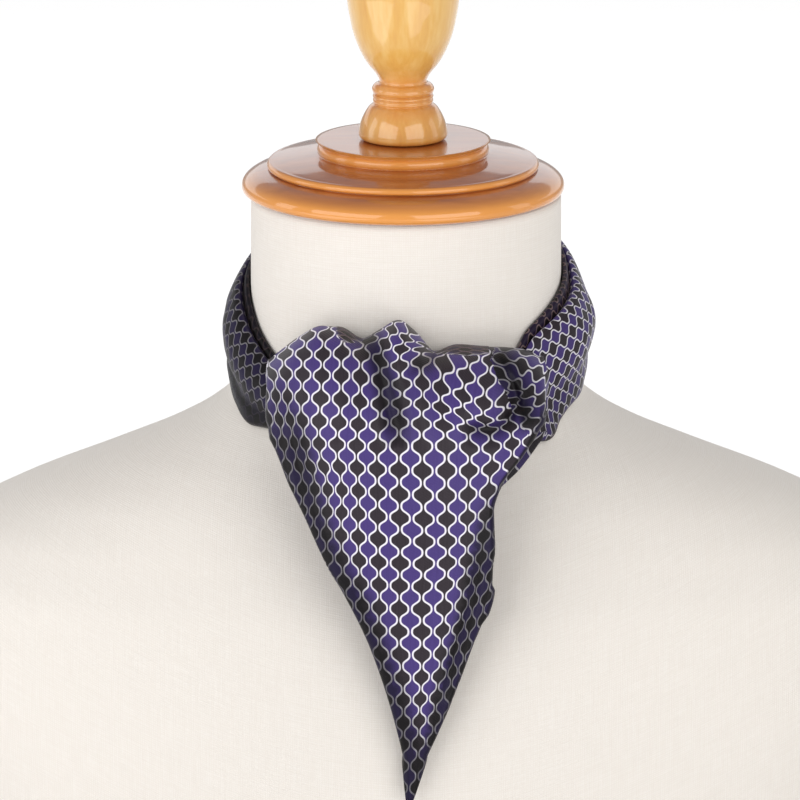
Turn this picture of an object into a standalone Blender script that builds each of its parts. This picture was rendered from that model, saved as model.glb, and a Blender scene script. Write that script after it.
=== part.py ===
"""Silk cravat tied and puffed at the throat of a limbless, linen-covered dress form.

The form stands on its flat underside at Z = 0, centred between its front and back, and faces -Y. The
cravat is a pleated neckband in three stretches, the tied crossing at the throat, an under blade, and the
front blade, which comes up behind the crossing, rolls over it and falls to a point on the chest.

Lengths in the tables are in millimetres. drop is measured down from the top of the form's neck, depth
forward (-Y) from the neck's axis, out from the form's surface, and x towards +X.
"""

import math
from collections import namedtuple

import bmesh
import bpy
import numpy as np
from mathutils import Vector
from mathutils.geometry import tessellate_polygon

MM = 0.001

# Dress form
FORM_HEIGHT = 380.0  # from the flat underside to the top of the neck
FORM_SEGMENTS = 48
AXIS_BACK = 7.0  # how far behind the form's middle the neck's axis is
TURNED_STEPS = 40
CAP_GAP = 0.3

# Cloth
WALL = 1.8  # front and under blade: silk, lining and turnings as one wall
FACE_COLUMNS = 32
TURN_COLUMNS = 3
FLAP_COLUMNS = 3
ROLL_ROWS = 9
FACE_ROWS = 23
BACK_ROWS = 3
UNDER_ROWS = 18
UNDER_COLUMNS = 18
SEAM_GAP = 0.3
BAND_TALL = 30.0  # mean height of the neckband
FORM_CLEARANCE = 0.7  # between the neckband and the form

# Roll of the front blade over the throat
RIDGE_LEVEL = 45.0  # mean drop of the roll's ridge
ROLL_HEIGHT = 34.0  # ridge to the puff's fullest depth
ROLL_DEPTH = 29.0
ROLL_BACK_HEIGHT = 6.0
ROLL_BACK_DEPTH = 6.4
BACK_WALL = 5.0  # straight stretch behind the ridge, down along the neck
BACK_NARROWING = 0.05  # share of its width that the back stretch loses to its foot
BACK_MIDDLE = 34.0  # half width that lies on the form; beyond it the back lies on the neckband
BACK_EDGE = 44.0
RIDGE_FADE = 100.0  # drop where the ridge's ups and downs have died out in the rows
REST_OUT = 13.6  # out from the form, where the sides rest on the neckband
BACK_REST_OUT = 11.5  # the same behind the ridge
BAND_END = 98.0  # drop below which there is no neckband to rest on
BAND_FADE = 12.0
BLADE_TIP = 223.0
EDGE_STEP = 0.5  # how far in from an edge its direction is read

UNDER_SPACE = 4.4  # mid wall to mid wall, under blade behind the front blade's turned-back flap
UNDER_TUCK_DROP = 97.0  # drop from which it slopes up and back to the throat crossing
CROSSING_REST_OUT = 15.4  # out from the form, where its top edge rests on the throat crossing

FormSection = namedtuple("FormSection", "drop half_width front back square")
FORM_SECTIONS = [
    FormSection(0, 62.5, 60, 60, 2.0),
    FormSection(56, 62.8, 60, 60.5, 2.0),
    FormSection(70, 65.5, 60.3, 62.5, 2.0),
    FormSection(80, 71, 60.8, 65.5, 2.0),
    FormSection(89, 82, 61.6, 68.5, 2.0),
    FormSection(98, 99, 63, 72.5, 2.0),
    FormSection(108, 124, 65.5, 77, 2.05),
    FormSection(123, 162, 71, 84, 2.15),
    FormSection(138, 189, 77.5, 90, 2.25),
    FormSection(158, 205, 87, 96, 2.35),
    FormSection(188, 209, 97.5, 101, 2.4),
    FormSection(228, 200, 108, 104, 2.4),
    FormSection(272, 180, 116, 104, 2.35),
    FormSection(320, 166, 118, 102, 2.3),
    FormSection(360, 160, 115, 99, 2.3),
    FormSection(380, 157, 111, 96, 2.3),
]
FORM_DROPS = (
    0, 20, 40, 56, 64, 70, 75, 80, 85, 90, 95, 100, 106, 113, 121, 131, 144, 160, 180, 204, 232,
    272, 300, 320, 350, 380,
)

TurnedPoint = namedtuple("TurnedPoint", "height radius")  # height above the top of the neck
CAP_PROFILE = [
    TurnedPoint(21.6, 0.0),
    TurnedPoint(21.5, 30.0),
    TurnedPoint(20.9, 34.4),
    TurnedPoint(19.3, 35.6),
    TurnedPoint(17.6, 34.9),
    TurnedPoint(16.2, 33.2),
    TurnedPoint(15.8, 50.6),
    TurnedPoint(15.0, 53.6),
    TurnedPoint(13.3, 54.7),
    TurnedPoint(11.4, 53.9),
    TurnedPoint(10.3, 52.2),
    TurnedPoint(9.9, 59.0),
    TurnedPoint(9.0, 62.4),
    TurnedPoint(7.0, 64.5),
    TurnedPoint(4.6, 65.0),
    TurnedPoint(2.2, 64.4),
    TurnedPoint(0.5, 62.6),
    TurnedPoint(0.0, 60.5),
    TurnedPoint(0.0, 0.0),
]
FINIAL_PROFILE = [
    TurnedPoint(104.0, 0.0),
    TurnedPoint(103.2, 5.4),
    TurnedPoint(100.6, 11.4),
    TurnedPoint(96.4, 16.8),
    TurnedPoint(90.6, 21.2),
    TurnedPoint(84.0, 23.4),
    TurnedPoint(77.5, 23.2),
    TurnedPoint(70.0, 20.6),
    TurnedPoint(62.0, 16.2),
    TurnedPoint(54.5, 11.8),
    TurnedPoint(49.5, 9.4),
    TurnedPoint(47.0, 9.1),
    TurnedPoint(45.6, 10.2),
    TurnedPoint(43.8, 10.9),
    TurnedPoint(42.6, 10.1),
    TurnedPoint(41.6, 11.3),
    TurnedPoint(39.6, 12.0),
    TurnedPoint(37.6, 11.2),
    TurnedPoint(36.4, 9.7),
    TurnedPoint(34.8, 11.0),
    TurnedPoint(32.4, 13.6),
    TurnedPoint(29.4, 16.2),
    TurnedPoint(26.4, 17.7),
    TurnedPoint(24.2, 17.9),
    TurnedPoint(22.6, 16.6),
    TurnedPoint(21.9, 15.4),
    TurnedPoint(21.9, 0.0),
]

# Front blade, a row for each level down the front. depth is at the middle of the form, curve is how
# fast the face falls back towards its sides. Its edges turn back round a radius of turn, through swing
# degrees, and end in a flap.
BladeSection = namedtuple("BladeSection", "drop left right depth curve turn swing flap")
BLADE = [
    BladeSection(45, -54.0, 53.0, 97.0, 0.0045, 3.0, 22, 2.0),
    BladeSection(51, -55.6, 54.4, 98.0, 0.0048, 3.8, 42, 5.0),
    BladeSection(58, -57.0, 55.5, 99.0, 0.0050, 4.5, 60, 9.0),
    BladeSection(67, -58.2, 56.4, 101.0, 0.0054, 5.5, 75, 11.0),
    BladeSection(75, -57.4, 53.4, 102.5, 0.0054, 5.0, 115, 7.5),
    BladeSection(83, -53.0, 48.4, 103.3, 0.0050, 4.0, 165, 7.0),
    BladeSection(96, -46.6, 39.0, 104.0, 0.0044, 3.0, 172, 10.0),
    BladeSection(107, -41.0, 35.0, 104.5, 0.0038, 2.6, 175, 11.0),
    BladeSection(128, -32.0, 34.6, 105.6, 0.0030, 2.4, 175, 11.0),
    BladeSection(140, -24.8, 33.8, 106.4, 0.0028, 2.4, 175, 10.0),
    BladeSection(162, -14.8, 26.5, 108.0, 0.0026, 2.3, 175, 8.0),
    BladeSection(194, -3.8, 14.1, 110.6, 0.0024, 1.9, 150, 3.0),
    BladeSection(208, -0.7, 8.2, 112.0, 0.0020, 1.8, 60, 1.2),
    BladeSection(223, 0.2, 3.0, 113.6, 0.0020, 1.6, 25, 0.6),
]

# Under blade: its edges, a row for each level. It shows a little beyond the front blade at the right,
# where it falls back to the neckband.
UnderSection = namedtuple("UnderSection", "drop left right fall")
UNDER = [
    UnderSection(84, -36.0, 56.0, 15.0),
    UnderSection(88, -38.0, 52.5, 12.5),
    UnderSection(95, -39.0, 45.5, 8.0),
    UnderSection(104, -38.0, 34.5, 2.0),
    UnderSection(128, -28.0, 31.0, 0.0),
    UnderSection(140, -21.5, 30.0, 0.0),
    UnderSection(162, -11.5, 22.5, 0.0),
    UnderSection(184, -3.0, 12.5, 0.0),
]
UNDER_FALL_START = 28.0  # x where its right side starts to fall back towards the neckband

RidgePoint = namedtuple("RidgePoint", "x drop")  # the top of the puff, from left to right
RIDGE = [
    RidgePoint(-62, 66.6),
    RidgePoint(-56, 58.8),
    RidgePoint(-50, 52.4),
    RidgePoint(-42, 45.4),
    RidgePoint(-33, 40.6),
    RidgePoint(-26, 40.9),
    RidgePoint(-17.5, 44.9),
    RidgePoint(-10.5, 41.2),
    RidgePoint(-3, 37.1),
    RidgePoint(4, 42.2),
    RidgePoint(11.5, 49.8),
    RidgePoint(20, 47.6),
    RidgePoint(30, 48.8),
    RidgePoint(44, 50.4),
    RidgePoint(54, 55.4),
    RidgePoint(60, 62.6),
]

# Folds of the front blade. Each runs from its start round its bend to its end; height is out of the
# face, and below zero it is a trough.
Fold = namedtuple("Fold", "name start bend end width height")
FOLDS = [
    Fold("first_bump", (-31, 34), (-30, 52), (-24, 78), 11.0, 2.2),
    Fold("throat_trough", (-19, 38), (-9, 56), (-3, 80), 4.6, -5.2),
    Fold("second_bump", (-4, 34), (-2, 42), (3, 52), 6.0, 2.4),
    Fold("tucked_under_second_bump", (-1, 49), (5, 51), (13, 52), 3.2, -3.0),
    Fold("right_bulge", (15, 46), (27, 55), (35, 67), 9.0, 4.6),
    Fold("right_valley", (36, 48), (45, 62), (38, 73), 5.2, -8.6),
    Fold("valley_foot", (42, 70), (34, 75.5), (22, 74), 3.8, -5.0),
    Fold("right_roll", (52, 50), (58, 64), (50, 82), 6.0, 3.2),
    Fold("below_the_valley", (44, 82), (33, 84), (20, 82), 6.5, 1.8),
    Fold("left_crease", (-46, 50), (-48, 92), (-26, 127), 3.6, -2.8),
    Fold("left_ridge", (-53, 60), (-52, 90), (-38, 116), 3.8, 1.2),
    Fold("low_right_crease", (29, 131), (26, 152), (15, 186), 3.0, -2.0),
    Fold("slack_across_the_middle", (-18, 96), (4, 104), (26, 98), 11.0, 1.0),
]

# Neckband, and the crossing at the throat. Round the neck, turn is 0 at the front, 90 at +X, 180 at the
# back and 270 at -X. top is the drop of the upper edge, tall the height, puff how far the folded cloth
# stands off, and lift how far its inside is held off the form.
BandStation = namedtuple("BandStation", "turn top tall puff lift")
BAND = [
    BandStation(-30, 67.0, 20, 0.90, 5.5),
    BandStation(0, 62.0, 25, 1.25, 5.5),
    BandStation(30, 66.0, 21, 0.90, 5.5),
    BandStation(40, 57.5, 28, 0.64, 1.6),
    BandStation(49, 47.0, 37, 0.64, 0.3),
    BandStation(58, 42.5, 41, 0.78, 0.0),
    BandStation(70, 37.5, 42, 0.92, 0.0),
    BandStation(80, 34.0, 40, 0.86, 0.0),
    BandStation(90, 30.0, 38, 0.70, 0.0),
    BandStation(104, 24.0, 38, 0.56, 0.0),
    BandStation(125, 18.0, 38, 0.48, 0.0),
    BandStation(150, 14.5, 38, 0.45, 0.0),
    BandStation(180, 13.5, 38, 0.44, 0.0),
    BandStation(210, 16.0, 38, 0.44, 0.0),
    BandStation(238, 23.0, 37, 0.46, 0.0),
    BandStation(256, 29.5, 37, 0.52, 0.0),
    BandStation(270, 35.0, 37, 0.68, 0.0),
    BandStation(282, 42.5, 35, 0.82, 0.0),
    BandStation(294, 51.5, 31, 0.78, 0.0),
    BandStation(308, 60.0, 26, 0.68, 0.3),
    BandStation(318, 65.0, 21, 0.66, 1.6),
    BandStation(330, 67.0, 20, 0.90, 5.5),
]
# Its folded section, round the cloth: out for a puff of 1, and fall as a share of its height.
BandPoint = namedtuple("BandPoint", "name out fall")
BAND_SECTION = [
    BandPoint("inner_hem", 0.0, 0.95),
    BandPoint("inner_low", 0.0, 0.66),
    BandPoint("inner_high", 0.0, 0.34),
    BandPoint("inner_edge", 0.2, 0.03),
    BandPoint("inner_layer_top", 1.2, 0.0),
    BandPoint("inner_layer_face", 2.6, 0.045),
    BandPoint("gap_between_layers", 3.4, 0.16),
    BandPoint("roll_inner_side", 4.8, 0.115),
    BandPoint("roll_top", 7.6, 0.10),
    BandPoint("roll_shoulder", 11.0, 0.17),
    BandPoint("upper_side", 12.6, 0.30),
    BandPoint("upper_pleat", 10.2, 0.44),
    BandPoint("middle_side", 11.0, 0.56),
    BandPoint("lower_pleat", 8.2, 0.70),
    BandPoint("lower_side", 8.0, 0.82),
    BandPoint("outer_hem", 5.0, 0.95),
    BandPoint("hem", 2.2, 1.0),
]
Stretch = namedtuple("Stretch", "name start end stations")
STRETCHES = [
    Stretch("throat_crossing", -30.0, 30.0, 11),
    Stretch("neckband_right", 30.0, 112.0, 18),
    Stretch("neckband_back", 112.0, 248.0, 21),
    Stretch("neckband_left", 248.0, 330.0, 18),
]

Finish = namedtuple("Finish", "colour roughness")
SILK = Finish((0.060, 0.045, 0.150), 0.42)
LINEN = Finish((0.760, 0.715, 0.630), 0.90)
CAP_WOOD = Finish((0.420, 0.130, 0.035), 0.25)
FINIAL_WOOD = Finish((0.620, 0.300, 0.100), 0.28)


def clear_scene():
    for thing in list(bpy.data.objects):
        bpy.data.objects.remove(thing, do_unlink=True)


def material(name, finish):
    made = bpy.data.materials.new(name)
    made.use_nodes = True
    shader = made.node_tree.nodes["Principled BSDF"]
    shader.inputs["Base Color"].default_value = (*finish.colour, 1.0)
    shader.inputs["Roughness"].default_value = finish.roughness
    shader.inputs["Metallic"].default_value = 0.0
    return made


def through(table, column, at):
    """A smooth curve through one column of a table, against its first column, with no overshoot."""
    known = np.array([row[0] for row in table], float)
    value = np.array([getattr(row, column) for row in table], float)
    gap = np.diff(known)
    slope = np.diff(value) / gap
    both = slope[:-1] * slope[1:]
    total = np.where(both > 0, slope[:-1] + slope[1:], 1.0)
    inner = np.where(both > 0, 2.0 * both / total, 0.0)
    tangent = np.concatenate([slope[:1], inner, slope[-1:]])
    at = np.clip(np.asarray(at, float), known[0], known[-1])
    i = np.clip(np.searchsorted(known, at) - 1, 0, len(gap) - 1)
    t = (at - known[i]) / gap[i]
    return (
        (2 * t**3 - 3 * t**2 + 1) * value[i]
        + (t**3 - 2 * t**2 + t) * gap[i] * tangent[i]
        + (3 * t**2 - 2 * t**3) * value[i + 1]
        + (t**3 - t**2) * gap[i] * tangent[i + 1]
    )


def place(x, depth, drop):
    """A point or points in metres from x, depth and drop in millimetres."""
    x, depth, drop = np.broadcast_arrays(x, depth, drop)
    return np.stack([x, AXIS_BACK - depth, FORM_HEIGHT - drop], axis=-1) * MM


def link(name, mesh, finish_material, collection):
    thing = bpy.data.objects.new(name, mesh)
    collection.objects.link(thing)
    mesh.materials.append(finish_material)
    mesh.shade_smooth()
    return thing


def grid_faces(rows, columns, closed):
    """Quads over a grid of points; closed joins the last column to the first."""
    last = columns if closed else columns - 1
    faces = []
    for r in range(rows - 1):
        for c in range(last):
            d = (c + 1) % columns
            faces.append((r * columns + c, r * columns + d, (r + 1) * columns + d, (r + 1) * columns + c))
    return faces


def sheet(name, points, thickness, finish_material, collection):
    """An open sheet of cloth through a grid of points, given its thickness."""
    rows, columns = points.shape[:2]
    mesh = bpy.data.meshes.new(name)
    mesh.from_pydata(points.reshape(-1, 3).tolist(), [], grid_faces(rows, columns, False))
    thing = link(name, mesh, finish_material, collection)
    wall = thing.modifiers.new("wall", "SOLIDIFY")
    wall.thickness = thickness * MM
    wall.offset = 0.0
    return thing


def loft(name, rings, cap, finish_material, collection):
    """A closed solid through rings of equally many points; cap lists the faces that close a ring."""
    count, around = rings.shape[:2]
    faces = grid_faces(count, around, True)
    faces += [tuple(face) for face in cap]
    faces += [tuple(i + (count - 1) * around for i in face) for face in cap]
    mesh = bpy.data.meshes.new(name)
    mesh.from_pydata(rings.reshape(-1, 3).tolist(), [], faces)
    form = bmesh.new()
    form.from_mesh(mesh)
    bmesh.ops.recalc_face_normals(form, faces=form.faces)
    form.to_mesh(mesh)
    form.free()
    return link(name, mesh, finish_material, collection)


def turned(name, profile, finish_material, collection):
    """A turned piece: its profile, from top to bottom, screwed once round the form's axis."""
    mesh = bpy.data.meshes.new(name)
    points = [(p.radius * MM, 0.0, (FORM_HEIGHT + CAP_GAP + p.height) * MM) for p in profile]
    mesh.from_pydata(points, [(i, i + 1) for i in range(len(points) - 1)], [])
    thing = link(name, mesh, finish_material, collection)
    thing.location.y = AXIS_BACK * MM
    screw = thing.modifiers.new("turning", "SCREW")
    screw.steps = TURNED_STEPS
    screw.render_steps = TURNED_STEPS
    screw.use_merge_vertices = True
    screw.merge_threshold = 0.00005
    return thing


def form_surface(turn, drop, out=0.0):
    """A point on the form, or a little out from it: turn is 0 at the front and 90 at +X."""
    angle = np.radians(turn)
    side, ahead = np.sin(angle), np.cos(angle)
    power = 2.0 / through(FORM_SECTIONS, "square", drop)
    reach = np.where(
        ahead > 0,
        through(FORM_SECTIONS, "front", drop),
        through(FORM_SECTIONS, "back", drop),
    )
    x = (through(FORM_SECTIONS, "half_width", drop) + out) * np.sign(side) * np.abs(side) ** power
    depth = (reach + out) * np.sign(ahead) * np.abs(ahead) ** power
    return place(x, depth, drop)


def form_depth(x, drop, out):
    """Depth at x of a surface that lies out from the form's front."""
    power = through(FORM_SECTIONS, "square", drop)
    share = np.clip(np.abs(x) / (through(FORM_SECTIONS, "half_width", drop) + out), 0, 1)
    return (through(FORM_SECTIONS, "front", drop) + out) * (1 - share**power) ** (1 / power)


def build_form(collection):
    turns = np.arange(FORM_SEGMENTS) * 360.0 / FORM_SEGMENTS
    rings = np.stack([form_surface(turns, np.full(FORM_SEGMENTS, float(drop))) for drop in FORM_DROPS])
    loft("form_body", rings, [range(FORM_SEGMENTS)], material("linen", LINEN), collection)
    turned("form_cap", CAP_PROFILE, material("cap_wood", CAP_WOOD), collection)
    turned("form_finial", FINIAL_PROFILE, material("finial_wood", FINIAL_WOOD), collection)


def along_fold(fold, x, drop):
    """How far each point lies from a fold's line, and how far along the fold that is, from 0 to 1."""
    t = np.linspace(0, 1, 33)[:, None]
    line = (1 - t) ** 2 * fold.start + 2 * t * (1 - t) * np.array(fold.bend) + t**2 * fold.end
    away = np.hypot(x[..., None] - line[:, 0], drop[..., None] - line[:, 1])
    return away.min(-1), away.argmin(-1) / (len(line) - 1)


def folds_height(x, drop):
    """What the folds add to the face's depth."""
    x, drop = np.broadcast_arrays(np.asarray(x, float), np.asarray(drop, float))
    height = np.zeros(x.shape)
    for fold in FOLDS:
        away, share = along_fold(fold, x, drop)
        fade = 1 - np.abs(2 * share - 1) ** 4
        height += fold.height * fade * np.exp(-((away / fold.width) ** 2))
    return height


def ridge_drop(x):
    return through(RIDGE, "drop", x)


def row_drop(x, level):
    """Drop along a row of the blade: it follows the ridge near the top and lies level lower down."""
    fade = np.clip((RIDGE_FADE - level) / (RIDGE_FADE - RIDGE_LEVEL), 0, 1)
    fade = fade**2 * (3 - 2 * fade)
    return level + (ridge_drop(x) - RIDGE_LEVEL) * fade


def below_ridge(x, drop):
    """0 at the ridge and 1 where the puff is deepest."""
    return np.clip((drop - ridge_drop(x)) / ROLL_HEIGHT, 0, 1)


def plain_depth(x, drop):
    """Depth of the front blade's face without its folds: a curved sheet rolled over at the ridge."""
    rolled = ROLL_DEPTH * (1 - np.sqrt(1 - (1 - below_ridge(x, drop)) ** 2))
    return through(BLADE, "depth", drop) - through(BLADE, "curve", drop) * np.square(x) - rolled


def face_depth(x, drop):
    """Depth of the front blade's face with its folds."""
    return plain_depth(x, drop) + folds_height(x, drop) * np.sqrt(below_ridge(x, drop))


def blade_levels():
    """Levels of the rows from the ridge down to the tip, closer together over the roll."""
    swing = np.linspace(0, math.pi / 2, ROLL_ROWS, endpoint=False)
    over = RIDGE_LEVEL + ROLL_HEIGHT * (1 - np.cos(swing))
    return np.concatenate([over, np.linspace(RIDGE_LEVEL + ROLL_HEIGHT, BLADE_TIP, FACE_ROWS)])


def turned_back(edge, inward, level):
    """The turned edge and flap beyond one end of the face; inward is +1 at the left end."""
    turn, flap = through(BLADE, "turn", level), through(BLADE, "flap", level)
    swing = math.radians(float(through(BLADE, "swing", level)))
    near = edge + inward * EDGE_STEP
    fall = plain_depth(edge, row_drop(edge, level)) - plain_depth(near, row_drop(near, level))
    along = np.array([-inward * EDGE_STEP, float(fall)])
    along /= np.linalg.norm(along)
    here = np.array([edge, float(face_depth(edge, row_drop(edge, level)))])
    out = np.array([-along[1], along[0]]) * -inward
    points = []
    for k in range(1, TURN_COLUMNS + 1):
        angle = swing * k / TURN_COLUMNS
        points.append(here + turn * (along * math.sin(angle) + out * (math.cos(angle) - 1)))
    last = points[-1]
    heading = along * math.cos(swing) - out * math.sin(swing)
    for k in range(1, FLAP_COLUMNS + 1):
        points.append(last + heading * flap * k / FLAP_COLUMNS)
    x, depth = np.array(points).T
    left, right = through(BLADE, "left", level), through(BLADE, "right", level)
    drop = row_drop(np.clip(x, left, right), level)
    on_band = np.clip((BAND_END - drop) / BAND_FADE, 0, 1)
    resting = form_depth(x, drop, FORM_CLEARANCE + WALL + (REST_OUT - WALL) * on_band)
    return np.stack([x, np.maximum(depth, resting), drop], axis=-1)


def face_row(level):
    """One row of the front blade: left flap and turn, the face, right turn and flap."""
    left, right = through(BLADE, "left", level), through(BLADE, "right", level)
    turn = through(BLADE, "turn", level) * min(1.0, float(through(BLADE, "swing", level)) / 90.0)
    x = np.linspace(left + turn, right - turn, FACE_COLUMNS)
    drop = row_drop(x, level)
    face = np.stack([x, face_depth(x, drop), drop], axis=-1)
    start = turned_back(x[0], 1.0, level)[::-1]
    end = turned_back(x[-1], -1.0, level)
    return np.concatenate([start, face, end])


def back_row(below, ridge_x):
    """One row behind the ridge: below is the distance down from the ridge."""
    top_depth = face_depth(ridge_x, ridge_drop(ridge_x))
    x = ridge_x * (1 - BACK_NARROWING * below / (ROLL_BACK_HEIGHT + BACK_WALL))
    drop = ridge_drop(ridge_x) + below
    aside = np.clip((np.abs(x) - BACK_MIDDLE) / (BACK_EDGE - BACK_MIDDLE), 0, 1)
    beside = FORM_CLEARANCE + WALL / 2
    stand_off = beside + (BACK_REST_OUT - beside) * aside**2 * (3 - 2 * aside)
    foot = np.maximum(top_depth - ROLL_BACK_DEPTH, form_depth(x, drop, stand_off))
    share = min(1.0, below / ROLL_BACK_HEIGHT)
    depth = top_depth - (top_depth - foot) * math.sqrt(1 - (1 - share) ** 2)
    return np.stack([x, depth, drop], axis=-1)


def front_blade_points():
    """The grid of the front blade's middle surface, from its hidden foot over the ridge to its tip."""
    face = np.stack([face_row(level) for level in blade_levels()])
    ridge_x = face[0, :, 0]
    swing = np.linspace(math.pi / 2, 0, BACK_ROWS, endpoint=False)
    belows = [ROLL_BACK_HEIGHT + BACK_WALL]
    belows += [ROLL_BACK_HEIGHT * (1 - math.cos(s)) for s in swing]
    back = np.stack([back_row(below, ridge_x) for below in belows])
    return np.concatenate([back, face])


def build_front_blade(silk, collection):
    points = front_blade_points()
    sheet("front_blade", place(points[..., 0], points[..., 1], points[..., 2]), WALL, silk, collection)


def layer_behind(x, drop):
    """Depth of the layer behind the front blade, clear of its turned-back flaps."""
    turn = through(BLADE, "turn", drop)
    flat = through(BLADE, "depth", drop) - through(BLADE, "curve", drop) * np.square(x)
    return flat - 2 * turn - WALL - UNDER_SPACE


def build_under_blade(silk, collection):
    rows = []
    for level in np.linspace(UNDER[0].drop, UNDER[-1].drop, UNDER_ROWS):
        x = np.linspace(through(UNDER, "left", level), through(UNDER, "right", level), UNDER_COLUMNS)
        drop = np.full(x.shape, level)
        aside = np.clip((x - UNDER_FALL_START) / (x[-1] - UNDER_FALL_START), 0, 1)
        depth = layer_behind(x, drop) - through(UNDER, "fall", level) * aside**1.5
        tuck = np.clip((UNDER_TUCK_DROP - level) / (UNDER_TUCK_DROP - UNDER[0].drop), 0, 1) ** 1.5
        resting = form_depth(x, drop, CROSSING_REST_OUT)
        depth = np.minimum(depth, depth + (resting - depth) * tuck)
        rows.append(np.stack([x, depth, drop], axis=-1))
    points = np.stack(rows)
    sheet("under_blade", place(points[..., 0], points[..., 1], points[..., 2]), WALL, silk, collection)


def band_ring(turn):
    """The folded section of the neckband at one place round the neck."""
    top, tall, puff, lift = (through(BAND, column, turn) for column in BandStation._fields[1:])
    out = np.array([p.out for p in BAND_SECTION]) * puff + FORM_CLEARANCE + lift
    drop = np.array([p.fall for p in BAND_SECTION]) * tall + top
    return form_surface(np.full(out.shape, turn), drop, out)


def build_band(silk, collection):
    half_gap = math.degrees(SEAM_GAP / 2 / FORM_SECTIONS[0].half_width)
    outline = [Vector((p.out, p.fall * BAND_TALL, 0.0)) for p in BAND_SECTION]
    cap = tessellate_polygon([outline])
    for stretch in STRETCHES:
        turns = np.linspace(stretch.start + half_gap, stretch.end - half_gap, stretch.stations)
        rings = np.stack([band_ring(turn) for turn in turns])
        loft(stretch.name, rings, cap, silk, collection)


def main():
    clear_scene()
    collection = bpy.data.collections.new("silk_cravat")
    bpy.context.scene.collection.children.link(collection)
    build_form(collection)
    silk = material("silk", SILK)
    build_band(silk, collection)
    build_under_blade(silk, collection)
    build_front_blade(silk, collection)


main()
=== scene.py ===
import math
from collections import namedtuple

import bmesh
import bpy
import numpy as np
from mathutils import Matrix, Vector


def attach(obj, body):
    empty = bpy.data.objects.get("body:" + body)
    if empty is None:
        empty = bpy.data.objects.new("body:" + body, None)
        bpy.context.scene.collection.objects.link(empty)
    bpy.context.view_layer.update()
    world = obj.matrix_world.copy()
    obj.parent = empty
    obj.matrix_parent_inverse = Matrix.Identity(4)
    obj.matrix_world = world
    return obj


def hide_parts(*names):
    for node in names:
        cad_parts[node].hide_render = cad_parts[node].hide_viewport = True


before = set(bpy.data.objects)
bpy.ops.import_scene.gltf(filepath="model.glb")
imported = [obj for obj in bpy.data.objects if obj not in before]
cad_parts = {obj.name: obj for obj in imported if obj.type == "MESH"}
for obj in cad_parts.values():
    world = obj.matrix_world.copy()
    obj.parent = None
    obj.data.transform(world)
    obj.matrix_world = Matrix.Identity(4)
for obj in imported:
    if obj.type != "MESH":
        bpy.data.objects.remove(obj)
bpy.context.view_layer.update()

# Lengths in the tables are in millimetres, as a maker of the form and the cravat would give them: drop is
# measured down from the top of the form's neck, depth forward (-Y) from the neck's axis, out from the
# form's surface, and x towards +X.
MM = 0.001
FORM_HEIGHT = 380.0
AXIS_BACK = 7.0  # how far behind the form's middle the neck's axis is
CAP_GAP = 0.3


def table(columns, *rows):
    """A table with named columns: one row for each section, fold, point or light."""
    return [columns(*row) for row in rows]


# ------ sizes of the cloth
SILK_WALL = 0.9  # two layers of light silk pressed together
FACE_COLUMNS = 150
TURN_COLUMNS = 9
FLAP_COLUMNS = 5
ROLL_ROWS = 44
FACE_ROWS = 150
BACK_ROWS = 12
UNDER_ROWS = 70
UNDER_COLUMNS = 70
BAND_STATIONS = 330
BAND_ROUND = 70
CROSSING_STATIONS = 60
FOLD_STEPS = 49  # points along a fold's line
UNROLL_STEPS = 400
FORM_CLEARANCE = 0.7
SEAM_GAP = 0.3

RIDGE_LEVEL = 45.0
ROLL_HEIGHT = 34.0
ROLL_DEPTH = 29.0
ROLL_BACK_HEIGHT = 6.0
ROLL_BACK_DEPTH = 6.4
BACK_WALL = 5.0
BACK_NARROWING = 0.05
BACK_MIDDLE = 34.0
BACK_EDGE = 44.0
RIDGE_FADE = 100.0
REST_OUT = 13.6
BACK_REST_OUT = 11.5
BAND_END = 98.0
BAND_FADE = 12.0
BLADE_TIP = 221.0
BLADE_WALL_ROOM = 1.8  # room that the blade keeps off the form and the neckband
EDGE_STEP = 0.5
UNDER_SPACE = 4.4
UNDER_TUCK_DROP = 97.0
CROSSING_REST_OUT = 15.4
UNDER_FALL_START = 28.0

# ------ the dress form
FormSection = namedtuple("FormSection", "drop half_width front back square")
FORM_SECTIONS = table(
    FormSection,
    (0, 62.5, 60, 60, 2.0),
    (56, 62.8, 60, 60.5, 2.0),
    (70, 65.5, 60.3, 62.5, 2.0),
    (80, 71, 60.8, 65.5, 2.0),
    (89, 82, 61.6, 68.5, 2.0),
    (98, 99, 63, 72.5, 2.0),
    (108, 124, 65.5, 77, 2.05),
    (123, 162, 71, 84, 2.15),
    (138, 189, 77.5, 90, 2.25),
    (158, 205, 87, 96, 2.35),
    (188, 209, 97.5, 101, 2.4),
    (228, 200, 108, 104, 2.4),
    (272, 180, 116, 104, 2.35),
    (320, 166, 118, 102, 2.3),
    (360, 160, 115, 99, 2.3),
    (380, 157, 111, 96, 2.3),
)
FORM_SEGMENTS = 160
FORM_ROWS = ((0, 62, 20), (64, 160, 50), (163, 380, 50))  # neck, shoulders, chest: from, to, rows

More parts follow.
